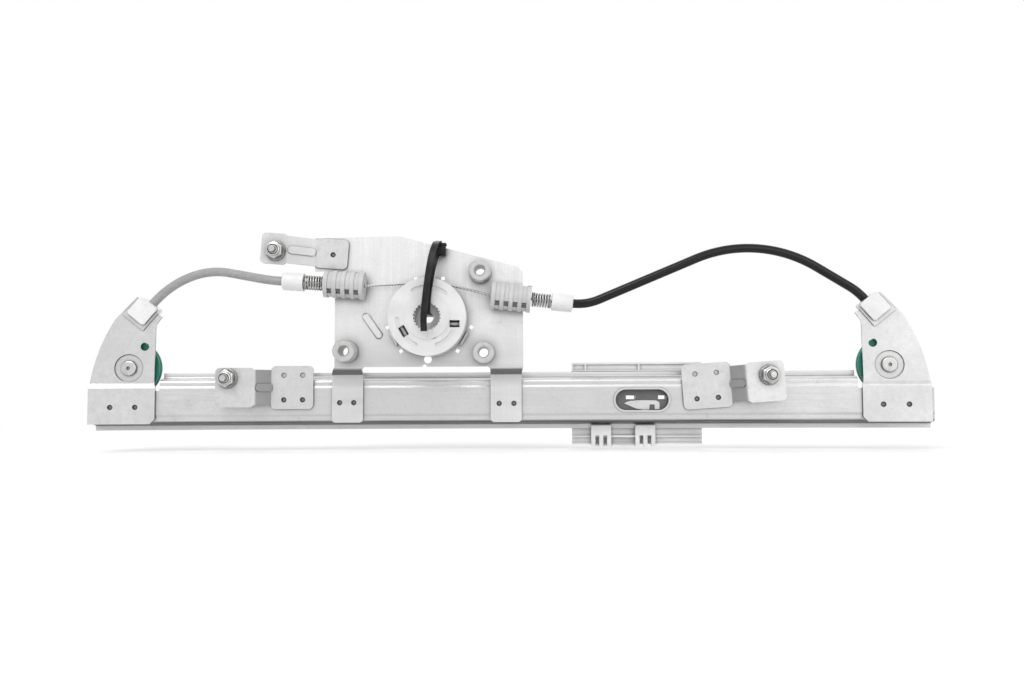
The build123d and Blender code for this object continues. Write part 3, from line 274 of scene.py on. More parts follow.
@dataclass(frozen=True)
class ZincSheet:
    """Rolled steel sheet with bright zinc plate: streaks of rolling, cloudy patches and handling marks, with
    painted shade in corners, on faces turned along X and on faces turned downward, and lines of another tone
    by height.
    """

    name: str
    grain: Grain
    tone: float = 0.70
    dull: float = 0.28
    # the next three set painted shade: in corners, on faces turned along X and on faces turned downward
    deep: float = 0.34
    side_shade: float = 0.0
    under: float = 0.85
    bands: tuple[tuple[float, float, float, float], ...] = ()

    def make(self) -> bpy.types.Material:
        """Builds the material.

        Returns:
            The material.
        """
        graph = Graph(self.name)
        streaks = graph.noise(1.0, 4.0, 0.62, graph.scaled(self.grain.value))
        fine = graph.noise(2.6, 2.0, 0.5, graph.scaled(self.grain.value))
        clouds = graph.noise(30.0, 4.0, 0.55)
        patches = graph.noise(11.0, 3.0, 0.6)
        speckle = graph.spread(graph.noise(700.0, 3.0, 0.6), 0.50, 0.72)
        marks = graph.spread(graph.noise(120.0, 5.0, 0.7), 0.60, 0.78)
        colour = graph.blend(graph.spread(streaks, 0.30, 0.70), self.grey(0.86), self.grey(1.0))
        colour = graph.blend(graph.spread(clouds, 0.40, 0.66, 0.0, 0.8), colour, self.grey(0.82))
        colour = graph.blend(graph.spread(patches, 0.46, 0.66, 0.0, 0.7), colour, self.grey(0.84))
        colour = graph.blend(graph.maths("MULTIPLY", speckle, 0.26), colour, self.grey(0.60))
        colour = graph.blend(graph.maths("MULTIPLY", marks, 0.45), colour, self.grey(0.52))
        # painted shade and painted highlight along the rail's folds; on the plate, darker towards the bottom
        for height, width, share, tone in self.bands:
            colour = graph.blend(self.band(graph, height, width, share), colour, self.grey(tone))
        facing = graph.add("ShaderNodeSeparateXYZ", {0: graph.facing}).outputs
        # painted shade on faces turned along X
        side_shade_share = graph.spread(graph.maths("ABSOLUTE", facing["X"]), 0.22, 0.50, 0.0, self.side_shade)
        colour = graph.blend(side_shade_share, colour, self.grey(0.40))
        # painted shade on faces turned downward
        downward_shade = graph.spread(facing["Z"], -0.80, -0.25, self.under, 0.0)
        colour = graph.blend(downward_shade, colour, self.grey(0.16))
        # painted shade in corners, and darker still in small holes such as the clinch dimples
        colour = graph.blend(graph.crevice(7.0 * MM), self.grey(self.deep), colour)
        colour = graph.blend(graph.crevice(1.6 * MM, 0.30, 0.80), self.grey(0.16), colour)
        rough = graph.spread(streaks, 0.2, 0.8, self.dull, self.dull + 0.12)
        rough = graph.maths("ADD", rough, graph.spread(clouds, 0.4, 0.7, 0.0, 0.08))
        relief = graph.bump(fine, 0.02 * MM, 0.5)
        relief = graph.bump(clouds, 0.25 * MM, 0.45, relief)
        graph.set(Base_Color=colour, Metallic=0.80, Roughness=rough, Normal=relief)
        return graph.material

    def band(self, graph: Graph, height: float, width: float, share: float) -> Socket:
        """Share of a line of another tone, patchy along its length, such as the rail's painted shade and
        painted highlight along its folds.

        Args:
            graph: The material's graph.
            height: Height of the line's middle in metres.
            width: Half its width in metres.
            share: Its strongest share.

        Returns:
            The share.
        """
        level = graph.add("ShaderNodeSeparateXYZ", {0: graph.place}).outputs["Z"]
        away = graph.maths("ABSOLUTE", graph.maths("SUBTRACT", level, height))
        line = graph.spread(away, width * 0.3, width, share, 0.0)
        patches = graph.noise(1.0, 3.0, 0.6, graph.scaled((9.0, 60.0, 60.0)))
        return graph.maths("MULTIPLY", line, graph.spread(patches, 0.34, 0.60, 0.35, 1.0))

    def grey(self, share: float) -> Colour:
        """Neutral grey, as a share of the sheet's own tone."""
        return (self.tone * share, self.tone * share, self.tone * share * 1.005, 1)


@dataclass(frozen=True)
class TurnedSteel:
    """Turned or headed steel with zinc plate: fine rings and stains, with painted shade in its corners."""

    name: str
    tone: float = 0.58
    rough: float = 0.26
    reach: float = 5.0 * MM
    open_air: float = 0.95

    def make(self) -> bpy.types.Material:
        """Builds the material.

        Returns:
            The material.
        """
        graph = Graph(self.name)
        rings = graph.noise(1.0, 2.0, 0.5, graph.scaled((300.0, 2600.0, 300.0)))
        stain = graph.noise(240.0, 4.0, 0.6)
        base: Colour = (self.tone, self.tone, self.tone * 0.99, 1)
        dark: Colour = (self.tone * 0.62, self.tone * 0.62, self.tone * 0.60, 1)
        colour = graph.blend(graph.spread(stain, 0.48, 0.74, 0.0, 0.6), base, dark)
        # painted shade, near black, in corners and bores
        colour = graph.blend(graph.crevice(self.reach, 0.30, self.open_air), (0.05, 0.05, 0.05, 1), colour)
        rough = graph.spread(rings, 0.2, 0.8, self.rough, self.rough + 0.14)
        relief = graph.bump(rings, 0.015 * MM, 0.6)
        graph.set(Base_Color=colour, Metallic=0.92, Roughness=rough, Normal=relief)
        return graph.material


@dataclass(frozen=True)
class StrandedRope:
    """Thin steel rope: slanting strands, darker in the grooves between them."""

    name: str
    lay: float = 1900.0

    def make(self) -> bpy.types.Material:
        """Builds the material.

        Returns:
            The material.
        """
        graph = Graph(self.name)
        slanted = graph.scaled((1.0, 0.9, 0.9))
        inputs = {"Vector": slanted, "Scale": self.lay / FULL_TURN, "Distortion": 0.3}
        strands = graph.add("ShaderNodeTexWave", inputs, bands_direction="DIAGONAL").outputs["Fac"]
        colour = graph.blend(strands, (0.26, 0.26, 0.255, 1), (0.60, 0.60, 0.59, 1))
        relief = graph.bump(strands, 0.15 * MM, 0.8)
        graph.set(Base_Color=colour, Metallic=0.85, Roughness=0.34, Normal=relief)
        return graph.material


@dataclass(frozen=True)
class Moulding:
    """Moulded plastic: faint flow clouds, matt spark-eroded skin, slight glow of light through it, and
    painted shade in its corners.
    """

    name: str
    colour: Point
    rough: float = 0.42
    glow: float = 0.0
    skin: float = 0.03
    shade: float = 0.60
    glow_reach: Point = (4.0 * MM, 4.0 * MM, 4.0 * MM)

    def make(self) -> bpy.types.Material:
        """Builds the material.

        Returns:
            The material.
        """
        graph = Graph(self.name)
        flow = graph.noise(60.0, 3.0, 0.5)
        skin = graph.noise(2600.0, 2.0, 0.5)
        dust = graph.spread(graph.noise(420.0, 4.0, 0.65), 0.60, 0.82)
        red, green, blue = self.colour
        plain: Colour = (red, green, blue, 1)
        cloud: Colour = (red * 0.88, green * 0.88, blue * 0.89, 1)
        colour = graph.blend(graph.spread(flow, 0.35, 0.65), cloud, plain)
        colour = graph.blend(graph.maths("MULTIPLY", dust, 0.10), colour, (0.40, 0.39, 0.37, 1))
        # painted shade in corners and recesses
        shaded: Colour = (red * self.shade, green * self.shade, blue * self.shade, 1)
        colour = graph.blend(graph.crevice(2.5 * MM), shaded, colour)
        rough = graph.spread(flow, 0.3, 0.7, self.rough, self.rough + 0.10)
        relief = graph.bump(skin, self.skin * MM, 0.5)
        relief = graph.bump(flow, 0.10 * MM, 0.3, relief)
        graph.set(Base_Color=colour, Roughness=rough, Normal=relief)
        if self.glow:
            graph.set(Subsurface_Weight=self.glow, Subsurface_Radius=self.glow_reach, Subsurface_Scale=0.5)
        return graph.material


@dataclass(frozen=True)
class Sheath:
    """Extruded conduit sheath: lengthwise sheen, scuffs and a little dust."""

    name: str
    colour: Point
    rough: float
    scuff: Point

    def make(self) -> bpy.types.Material:
        """Builds the material.

        Returns:
            The material.
        """
        graph = Graph(self.name)
        draw = graph.noise(1.0, 3.0, 0.6, graph.scaled((60.0, 700.0, 700.0)))
        scuffs = graph.spread(graph.noise(190.0, 5.0, 0.7), 0.60, 0.78)
        red, green, blue = self.colour
        worn: Colour = (red * 0.85, green * 0.85, blue * 0.85, 1)
        colour = graph.blend(graph.spread(draw, 0.35, 0.65), worn, (red, green, blue, 1))
        colour = graph.blend(graph.maths("MULTIPLY", scuffs, 0.5), colour, (*self.scuff, 1))
        sheen = graph.spread(draw, 0.3, 0.7, self.rough, self.rough + 0.08)
        rough = graph.maths("ADD", sheen, graph.maths("MULTIPLY", scuffs, 0.2))
        graph.set(Base_Color=colour, Roughness=rough, Normal=graph.bump(draw, 0.03 * MM, 0.5))
        graph.set(Specular_IOR_Level=0.3)
        return graph.material


@dataclass(frozen=True)
class Strap:
    """Cable tie nylon: ribs across the strap, satin black."""

    name: str
    pitch: float = 1.1 * MM

    def make(self) -> bpy.types.Material:
        """Builds the material.

        Returns:
            The material.
        """
        graph = Graph(self.name)
        inputs = {"Vector": graph.place, "Scale": 1 / self.pitch / HALF_TURN}
        teeth = graph.add("ShaderNodeTexWave", inputs, bands_direction="Z").outputs["Fac"]
        flow = graph.noise(120.0, 3.0, 0.5)
        black: Colour = (0.006, 0.006, 0.006, 1)
        colour = graph.blend(graph.spread(flow, 0.4, 0.7), black, (0.020, 0.020, 0.021, 1))
        rough = graph.spread(flow, 0.3, 0.7, 0.28, 0.42)
        relief = graph.bump(teeth, 0.12 * MM, 0.5)
        graph.set(Base_Color=colour, Roughness=rough, Normal=relief, Specular_IOR_Level=0.25)
        return graph.material


Finish = ZincSheet | TurnedSteel | StrandedRope | Moulding | Sheath | Strap

# lines of another tone along a sheet, each as height, half width, strongest share and tone: on the rail a
# painted shade under the web's lower fold and a painted highlight along the top flange, on the plate a broad
# band darker towards the bottom
RAIL_SHADE_AND_HIGHLIGHT_LINES = ((-67.6 * MM, 1.5 * MM, 0.95, 0.10), (-35.0 * MM, 2.6 * MM, 1.0, 1.25))
PLATE_LINES = ((-42.0 * MM, 38.0 * MM, 0.9, 0.62),)
ZINC_ALONG = ZincSheet("zinc_sheet_along", Grain.ALONG, tone=0.68, deep=0.60, bands=RAIL_SHADE_AND_HIGHLIGHT_LINES)
ZINC_ACROSS = ZincSheet("zinc_sheet_across", Grain.ACROSS, tone=0.86, bands=PLATE_LINES)
# the brackets get painted shade on their faces turned along X
ZINC_EVEN = ZincSheet("zinc_sheet_even", Grain.EVEN, side_shade=0.80)
TURNED = TurnedSteel("turned_steel")
# longer reach: painted shade deep inside the bushes' bores
BUSH = TurnedSteel("bush_steel", reach=14.0 * MM, open_air=0.62)
# dark tone: painted shade inside the clinch dimples
CLINCH_SHADE = TurnedSteel("clinch_shade_steel", tone=0.22, rough=0.40)
SPRING = TurnedSteel("spring_wire", tone=0.50, rough=0.22)
NIPPLE = TurnedSteel("nipple_zinc", tone=0.50, rough=0.45)
ROPE = StrandedRope("stranded_rope")
WHITE = Moulding("white_nylon", (0.84, 0.84, 0.835), glow=0.15)
NATURAL = Moulding("natural_acetal", (0.77, 0.77, 0.765), glow=0.15)
SLIDER = Moulding("slider_acetal", (0.84, 0.84, 0.835), glow=0.15, shade=0.45)
DRUM_ACETAL = Moulding("drum_acetal", (0.78, 0.78, 0.775), glow=0.35, shade=0.82)
SLEEVE = Moulding("sleeve_plastic", (0.60, 0.60, 0.60), rough=0.5, shade=0.70)
GREEN = Moulding("green_acetal", (0.0, 0.19, 0.12), rough=0.35)
GREY_SHEATH = Sheath("grey_sheath", (0.38, 0.38, 0.38), 0.40, (0.50, 0.50, 0.50))
BLACK_SHEATH = Sheath("black_sheath", (0.004, 0.004, 0.004), 0.19, (0.020, 0.020, 0.020))
TIE = Strap("tie_nylon")
# dark pad that stands in for the shade inside the rail's slot
SHADE_PAD = Moulding("pad_painted_shade", (0.15, 0.15, 0.15), rough=0.6)

# the tie's loop and tail and its head's blocks, in millimetres
TIE_LOOP = (
    (6.2, -4.2, 45.0),
    (5.0, -7.5, 39.5),
    (3.4, -18.4, 29.5),
    (0.9, -19.6, 14.0),
    (0.4, -19.4, 2.6),
    (0.4, -16.0, 1.3),
    (0.4, 2.2, 1.3),
    (0.6, 2.6, 4.0),
    (5.8, 2.6, 48.6),
    (6.2, 2.4, 50.8),
    (6.3, -3.2, 50.8),
    (6.2, -3.6, 46.0),
)
TIE_TAIL = (
    (6.4, -4.4, 46.0),
    (6.2, -10.0, 49.6),
    (5.2, -19.0, 46.0),
    (3.0, -25.4, 35.0),
    (0.3, -24.9, 16.0),
    (-1.6, -22.6, -1.0),
    (-1.5, -21.6, -7.0),
)
TIE_HEAD_BLOCKS = (((8.4, -4.2, 43.8), (5.6, 5.4, 6.6)), ((9.0, -4.0, 48.0), (5.4, 4.4, 2.2)))

# middles of the clinch cups in millimetres and the turn of their axis about Z
CLINCH_PLACES = (
    (-59.6, 7.1, -54.5, 0.0),
    (-50.3, 7.1, -54.5, 0.0),
    (45.4, 7.1, -55.4, 0.0),
    (55.1, 7.1, -55.4, 0.0),
    (-96.12, 6.01, -52.5, 0.036),
    (-83.92, 6.45, -52.5, 0.036),
    (174.39, 1.76, -52.95, -0.072),
    (188.13, 0.77, -52.04, -0.072),
    (-62.95, -1.5, 42.23, 0.0),
    (-207.52, -0.78, -56.9, 0.083),
    (-191.78, 0.48, -56.9, 0.077),
    (306.92, -11.07, -56.9, -0.123),
    (291.24, -9.18, -56.9, -0.117),
)

# windows of the slider's pad as left, right, low and high, and the lens's outline, in millimetres
PAD_WINDOWS = ((129.0, 135.4, -53.0, -50.6), (150.0, 155.4, -53.0, -50.6))
LENS_OUTLINE = (
    (127.8, -55.8),
    (129.3, -54.9),
    (131.1, -54.3),
    (135.0, -53.9),
    (139.6, -53.7),
    (148.4, -53.9),
    (150.0, -54.6),
    (150.9, -55.8),
    (150.7, -59.6),
    (147.8, -59.8),
    (147.5, -56.5),
    (144.4, -56.5),
    (144.1, -59.9),
    (140.5, -60.1),
    (135.8, -59.3),
    (132.4, -57.8),
)

NODE_FINISHES: dict[str, Finish] = {
    "guide_rail": ZINC_ALONG,
    "left_pulley_bracket": ZINC_EVEN,
    "right_pulley_bracket": ZINC_EVEN,
    "motor_plate": ZINC_ACROSS,
    "left_mount_bracket": ZINC_EVEN,
    "right_mount_bracket": ZINC_EVEN,
    "upper_mount_bracket": ZINC_EVEN,
    "motor_bushes": BUSH,
    "left_pulley_rivet": TURNED,
    "right_pulley_rivet": TURNED,
    "glass_insert": TURNED,
    "left_cable": ROPE,
    "right_cable": ROPE,
    "drum_cable_turns": ROPE,
    "carriage_nipples": NIPPLE,
    "drum_nipples": NIPPLE,
    "left_pulley": GREEN,
    "right_pulley": GREEN,
    "left_conduit_holder": WHITE,
    "right_conduit_holder": WHITE,
    "left_conduit_ferrule": WHITE,
    "right_conduit_ferrule": WHITE,
    "cable_drum": DRUM_ACETAL,
    "carriage": SLIDER,
    "left_tension_sleeve": SLEEVE,
    "right_tension_sleeve": SLEEVE,
    "left_conduit": GREY_SHEATH,
    "right_conduit": BLACK_SHEATH,
}


class Shop:
    """Keeps the finishes that have been made, and turns meshes into pieces."""

    def __init__(self) -> None:
        """Starts with no finish made."""
        self.made: dict[str, bpy.types.Material] = {}

    def finish(self, finish: Finish) -> bpy.types.Material:
        """Material of a finish, made once.

        Args:
            finish: One of the finishes above.

        Returns:
            The material.
        """
        if finish.name not in self.made:
            self.made[finish.name] = finish.make()
        return self.made[finish.name]

    def dress(self, node: str, finish: Finish) -> None:
        """Gives a carried-over node its finish.

        Args:
            node: Name of the node.
            finish: Its finish.
        """
        carried = frame["nodes"][node]
        carried.data.materials.clear()
        carried.data.materials.append(self.finish(finish))
        log.info("dressed %s with %s", node, finish.name)

    def piece(
        self,
        name: str,
        mesh: bmesh.types.BMesh,
        finish: Finish,
        body: Body,
        slot: str,
        replaced: tuple[str, ...] = (),
    ) -> bpy.types.Object:
        """Turns a mesh into a piece that rides on a body.

        Args:
            name: Name of the piece.
            mesh: Its mesh, in place; it is freed.
            finish: Its finish.
            body: Body that it rides on.
            slot: Material slot of the record; not used.
            replaced: Nodes that it stands for.

        Returns:
            The piece.
        """
        data = bpy.data.meshes.new(name)
        bmesh.ops.recalc_face_normals(mesh, faces=mesh.faces)
        mesh.to_mesh(data)
        mesh.free()
        data.materials.append(self.finish(finish))
        made = bpy.data.objects.new(name, data)
        bpy.context.scene.collection.objects.link(made)
        data.shade_smooth()
        data.set_sharp_from_angle(angle=CREASE_ANGLE)
        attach(made, body.value)
        if replaced:
            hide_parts(*replaced)
        log.info("made %s, %d faces, on %s", name, len(data.polygons), body.value)
        return made


def axis_frame(origin: Vector, axis: Vector) -> Matrix:
    """Matrix whose Z points along an axis.

    Args:
        origin: Where it stands.
        axis: Direction of its Z.

    Returns:
        The matrix.
    """
    return Matrix.Translation(origin) @ axis.to_track_quat("Z", "Y").to_matrix().to_4x4()


def ring_at(
    mesh: bmesh.types.BMesh, place: Matrix, height: float, radii: list[float]
) -> list[bmesh.types.BMVert]:
    """Adds a ring of corners round the axis of a place.

    Args:
        mesh: The mesh that it joins.
        place: Matrix whose Z is the axis.
        height: Where the ring lies along the axis.
        radii: A radius for each of its corners.

    Returns:
        The corners.
    """
    ring = []
    for step, radius in enumerate(radii):
        angle = 2 * math.pi * step / len(radii)
        point = Vector((radius * math.cos(angle), radius * math.sin(angle), height))
        ring.append(mesh.verts.new(place @ point))
    return ring


def skin(mesh: bmesh.types.BMesh, rings: list[list[bmesh.types.BMVert]]) -> None:
    """Closes a row of rings into a solid, with faces between neighbours and a cap at each end.

    Args:
        mesh: The mesh that it joins.
        rings: Rings with the same number of corners, from one end to the other.
    """
    for lower, upper in zip(rings, rings[1:]):
        for step in range(len(lower)):
            after = (step + 1) % len(lower)
            mesh.faces.new((lower[step], lower[after], upper[after], upper[step]))
    mesh.faces.new(rings[0])
    mesh.faces.new(rings[-1])


def turned_body(mesh: bmesh.types.BMesh, profile: Outline, place: Matrix, sides: int = 48) -> None:
    """Adds a body of revolution.

    Args:
        mesh: The mesh that it joins.
        profile: Points as radius and height, from one end to the other.
        place: Matrix whose Z is the axis.
        sides: Faces round it.
    """
    skin(mesh, [ring_at(mesh, place, height, [radius] * sides) for radius, height in profile])


def tube_along(mesh: bmesh.types.BMesh, path: list[Vector], radius: float, sides: int = 12) -> None:
    """Adds a round rod along a path.

    Args:
        mesh: The mesh that it joins.
        path: Points of its middle line.
        radius: Radius of the rod.
        sides: Faces round it.
    """
    across = (path[1] - path[0]).orthogonal().normalized()
    rings = []
    for index, point in enumerate(path):
        before = path[max(index - 1, 0)]
        after = path[min(index + 1, len(path) - 1)]
        ahead = (after - before).normalized()
        across = (across - ahead * across.dot(ahead)).normalized()
        beside = ahead.cross(across)
        ring = []
        for step in range(sides):
            angle = 2 * math.pi * step / sides
            outwards = across * math.cos(angle) + beside * math.sin(angle)
            ring.append(mesh.verts.new(point + outwards * radius))
        rings.append(ring)
    skin(mesh, rings)


@dataclass
class CarriedNodes:
    """The sub-parts whose shape comes from the frame and that only take a finish."""

    shop: Shop

    def build(self) -> None:
        """Dresses them all."""
        for node, finish in NODE_FINISHES.items():
            self.shop.dress(node, finish)


@dataclass
class TensionSpring:
    """Coil spring between a sleeve and its ferrule, wound from round wire with closed ends.

    The inset of the coil and the rise of each closed end are counted in radii of the wire.
    """

    shop: Shop
    side: Side
    wire_radius: float = 0.55 * MM
    inset: float = 1.15
    end_rise: float = 1.6
    turns: int = 6
    steps: int = 28

    def build(self) -> None:
        """Builds the spring in place of its node."""
        node = f"{self.side.value}_tension_spring"
        vertices = frame["nodes"][node].data.vertices
        middle = sum((vertex.co for vertex in vertices), Vector()) / len(vertices)
        ferrule = self.middle(f"{self.side.value}_conduit_ferrule")
        sleeve = self.middle(f"{self.side.value}_tension_sleeve")
        axis = (ferrule - sleeve).normalized()
        axis = Vector((axis.x, 0, axis.z)).normalized()
        offsets = [vertex.co - middle for vertex in vertices]
        along = [offset.dot(axis) for offset in offsets]
        reach = max((offset - axis * offset.dot(axis)).length for offset in offsets)
        radius = reach - self.wire_radius * self.inset
        low, high = min(along) + self.wire_radius, max(along) - self.wire_radius
        rise = self.wire_radius * self.end_rise
        place = axis_frame(middle, axis)
        path = []
        total = (self.turns + 2) * self.steps
        for step in range(total + 1):
            turn = step / self.steps
            share = min(max((turn - 1) / self.turns, 0.0), 1.0)
            closing = rise * (min(turn, 1) - 1 + max(turn - self.turns - 1, 0))
            height = low + rise + (high - low - 2 * rise) * share + closing
            angle = 2 * math.pi * turn
            path.append(place @ Vector((radius * math.cos(angle), radius * math.sin(angle), height)))
        mesh = bmesh.new()
        tube_along(mesh, path, self.wire_radius)
        name = f"{self.side.value}_spring_coil"
        self.shop.piece(name, mesh, SPRING, Body.FRAME, "spring_steel", (node,))

    def middle(self, node: str) -> Vector:
        """Middle of a node's box.

        Args:
            node: Name of the node.

        Returns:
            The middle.
        """
        low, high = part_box(node)
        return (low + high) / 2


@dataclass
class StudSet:
    """The three threaded studs of the mount brackets and their flange nuts."""

    shop: Shop
    pitch: float = 1.0 * MM
    thread_depth: float = 0.5 * MM
    radius: float = 3.0 * MM
    thread_reach: float = 7.94 * MM
    tip: float = 0.5 * MM
    point_radius: float = 2.0 * MM
    point_length: float = 3.0 * MM
    chamfer: float = 0.4 * MM
    sheet: float = 1.5 * MM
    seat: float = 0.04 * MM
    head_radius: float = 5.0 * MM
    head_height: float = 1.5 * MM
    flange_radius: float = 6.6 * MM
    flange_height: float = 1.4 * MM
    across_flats: float = 10.0 * MM
    hex_height: float = 4.6 * MM
    collar_radius: float = 4.1 * MM
    collar_height: float = 1.4 * MM
    stud_edge: float = 0.35 * MM
    nut_edge: float = 0.3 * MM
    flange_taper: float = math.radians(20)
    stud_sides: int = 32
    nut_sides: int = 72
    rings_per_pitch: int = 6

    def build(self) -> None:
        """Builds studs and nuts in place of their nodes."""
        studs = bmesh.new()
        nuts = bmesh.new()
        for mount in frame["record"]["mounts"]:
            if not mount["name"].endswith("_stud"):
                continue
            axis = Vector(mount["axis"])
            wall = self.point_length - self.chamfer
            foot = Vector(mount["pos_m"]) - axis * (self.thread_reach + wall / 2)
            place = axis_frame(foot, axis)
            self.stud(studs, place)
            self.nut(nuts, place)
        self.shop.piece("threaded_studs", studs, TURNED, Body.FRAME, "turned_steel", ("mount_studs",))
        self.shop.piece("hexagon_flange_nuts", nuts, TURNED, Body.FRAME, "turned_steel", ("flange_nuts",))

    def stud(self, mesh: bmesh.types.BMesh, place: Matrix) -> None:
        """Adds one stud with a helical thread, its dog point and its riveted head.

        Args:
            mesh: The mesh that it joins.
            place: Matrix at the bracket's face, Z outwards.
        """
        back = -self.sheet - self.seat
        length = self.thread_reach - back
        count = int(length / self.pitch * self.rings_per_pitch)
        rings = []
        for index in range(count + 1):
            height = back + length * index / count
            radii = [self.thread_radius(height, step / self.stud_sides) for step in range(self.stud_sides)]
            rings.append(ring_at(mesh, place, height, radii))
        skin(mesh, rings)
        point_end = self.thread_reach + self.point_length
        turned_body(
            mesh,
            [
                (self.point_radius, self.thread_reach - self.tip),
                (self.point_radius, point_end - self.chamfer),
                (self.point_radius - self.chamfer, point_end),
            ],
            place,
        )
        edge = self.stud_edge
        turned_body(
            mesh,
            [
                (self.head_radius - edge, back - self.head_height),
                (self.head_radius, back - self.head_height + edge),
                (self.head_radius, back - edge / 2),
                (self.head_radius - edge / 2, back),
            ],
            place,
        )

    def thread_radius(self, height: float, share: float) -> float:
        """Radius of the threaded rod at a point.

        Args:
            height: Height above the bracket's face.
            share: How far round the rod the point lies, from 0 to 1.

        Returns:
            The radius.
        """
        if height < 0:
            return self.radius
        phase = (height / self.pitch - share) % 1.0
        crown = self.radius - self.thread_depth * abs(2 * phase - 1)
        to_tip = self.thread_reach - height
        if to_tip < self.tip:
            crown = min(crown, self.radius - self.tip + to_tip)
        return crown

    def hexagon_radius(self, share: float) -> float:
        """Radius of the sharp hexagon, a share of the way round it."""
        facet = (2 * math.pi * share + math.pi / 6) % (math.pi / 3) - math.pi / 6
        return self.across_flats / 2 / math.cos(facet)

    def nut(self, mesh: bmesh.types.BMesh, place: Matrix) -> None:
        """Adds one flange nut with a chamfered hexagon and a crimped collar.

        Args:
            mesh: The mesh that it joins.
            place: Matrix at the bracket's face, Z outwards.
        """
        edge = self.nut_edge
        bottom = self.seat
        top = bottom + self.flange_height
        taper = self.flange_height * math.tan(self.flange_taper)
        turned_body(
            mesh,
            [
                (self.flange_radius - edge, bottom),
                (self.flange_radius, bottom + edge / 2),
                (self.flange_radius, bottom + edge * 2),
                (self.flange_radius - taper, top + edge),
                (self.radius, top + edge),
            ],
            place,
        )
        half = self.across_flats / 2
        corner = half / math.cos(math.pi / 6)
        hex_top = top + self.hex_height
        sharp = [self.hexagon_radius(step / self.nut_sides) for step in range(self.nut_sides)]
        crowns = (
            (top, corner),
            (hex_top - 0.9 * MM, corner),
            (hex_top - 0.5 * MM, corner - 0.25 * MM),
            (hex_top - 0.2 * MM, half + 0.05 * MM),
            (hex_top, half - 0.35 * MM),
        )
        rings = []
        for height, crown in crowns:
            rings.append(ring_at(mesh, place, height, [min(radius, crown) for radius in sharp]))
        skin(mesh, rings)
        collar_top = hex_top + self.collar_height
        turned_body(
            mesh,
            [
                (self.collar_radius, hex_top - edge),
                (self.collar_radius, collar_top - edge * 1.5),
                (self.collar_radius - edge, collar_top - edge * 0.5),
                (self.radius + edge * 1.4, collar_top),
                (self.radius + edge * 0.3, collar_top - edge),
                (self.radius + edge * 0.3, hex_top - edge),
            ],
            place,
        )


@dataclass
class ShippingTie:
    """Cable tie that holds the drum for shipping: a loop through the bore, its head and its tail."""

    shop: Shop
    width: float = 4.2 * MM
    thickness: float = 1.2 * MM
    flat_share: float = 0.86
    groove_share: float = 0.7
    steps: int = 14

    def build(self) -> None:
        """Builds the tie in place of its node."""
        mesh = bmesh.new()
        self.strap(mesh, TIE_LOOP)
        self.strap(mesh, TIE_TAIL)
        self.head(mesh)
        self.shop.piece("drum_shipping_tie", mesh, TIE, Body.FRAME, "black_plastic", ("cable_tie",))

    def smooth(self, corners: tuple[Point, ...]) -> list[Vector]:
        """Smooth line that starts and ends at the first and last point and is drawn towards the others.

        Args:
            corners: Points in millimetres.

        Returns:
            Points of the line in metres.
        """
        points = [Vector(corner) * MM for corner in corners]
        points = [points[0] * 2 - points[1], *points, points[-1] * 2 - points[-2]]
        line = []
        for first, second, third in zip(points, points[1:], points[2:]):
            for step in range(self.steps):
                share = step / self.steps
                middle = second * (0.5 + share - share**2)
                line.append(first * (1 - share) ** 2 / 2 + middle + third * share**2 / 2)
        return line

    def strap(self, mesh: bmesh.types.BMesh, corners: tuple[Point, ...]) -> None:
        """Adds a flat strap along a smooth line, its width across the part.

        Args:
            mesh: The mesh that it joins.
            corners: Points of its route in millimetres.
        """
        line = self.smooth(corners)
        rings = []
        for before, point, after in zip([line[0], *line], line, [*line[1:], line[-1]]):
            ahead = (after - before).normalized()
            beside = Vector((1, 0, 0))
            beside = (beside - ahead * beside.dot(ahead)).normalized() * self.width / 2
            normal = ahead.cross(beside).normalized() * self.thickness / 2
            inset = beside * self.flat_share
            groove = normal * self.groove_share
            upper_side = (beside, inset + normal, groove, normal - inset)
            lower_side = (-beside, -inset - normal, inset - normal)
            rings.append([mesh.verts.new(point + offset) for offset in (*upper_side, *lower_side)])
        skin(mesh, rings)

    def head(self, mesh: bmesh.types.BMesh) -> None:
        """Adds the moulded head: a block with rounded edges, and its lip.

        Args:
            mesh: The mesh that it joins.
        """
        for middle, size in TIE_HEAD_BLOCKS:
            block = bmesh.ops.create_cube(mesh, size=1.0)["verts"]
            for vertex in block:
                corner = vertex.co
                placed = [centre + share * length for centre, share, length in zip(middle, corner, size)]
                vertex.co = Vector(placed) * MM
            edges = list({edge for vertex in block for edge in vertex.link_edges})
            bmesh.ops.bevel(mesh, geom=edges, offset=0.5 * MM, segments=2, affect="EDGES")


@dataclass
class ClinchCups:
    """Cups of the press joints that hold feet and brackets on the sheet, one in each dimple, dark as painted
    shade.
    """

    shop: Shop
    rim_radius: float = 1.70 * MM
    floor_radius: float = 1.05 * MM
    floor_depth: float = 0.80 * MM
    floor_rise: float = 0.25 * MM
    sides: int = 28

    def build(self) -> None:
        """Builds all the cups as one piece."""
        mesh = bmesh.new()
        for x, y, z, turn in CLINCH_PLACES:
            axis = Vector((math.sin(turn), -math.cos(turn), 0))
            place = axis_frame(Vector((x, y, z)) * MM, axis)
            profile = [
                (self.rim_radius, -self.floor_depth - self.floor_rise / 2),
                (self.rim_radius, -self.floor_rise),
                (self.rim_radius - self.floor_rise, -self.floor_rise / 2),
                (self.floor_radius + self.floor_rise, -self.floor_depth / 2),
                (self.floor_radius, -self.floor_depth),
                (self.floor_radius / 2, -self.floor_depth + self.floor_rise / 2),
            ]
            turned_body(mesh, profile, place, self.sides)
        self.shop.piece("clinch_cups", mesh, CLINCH_SHADE, Body.FRAME, "zinc_steel")


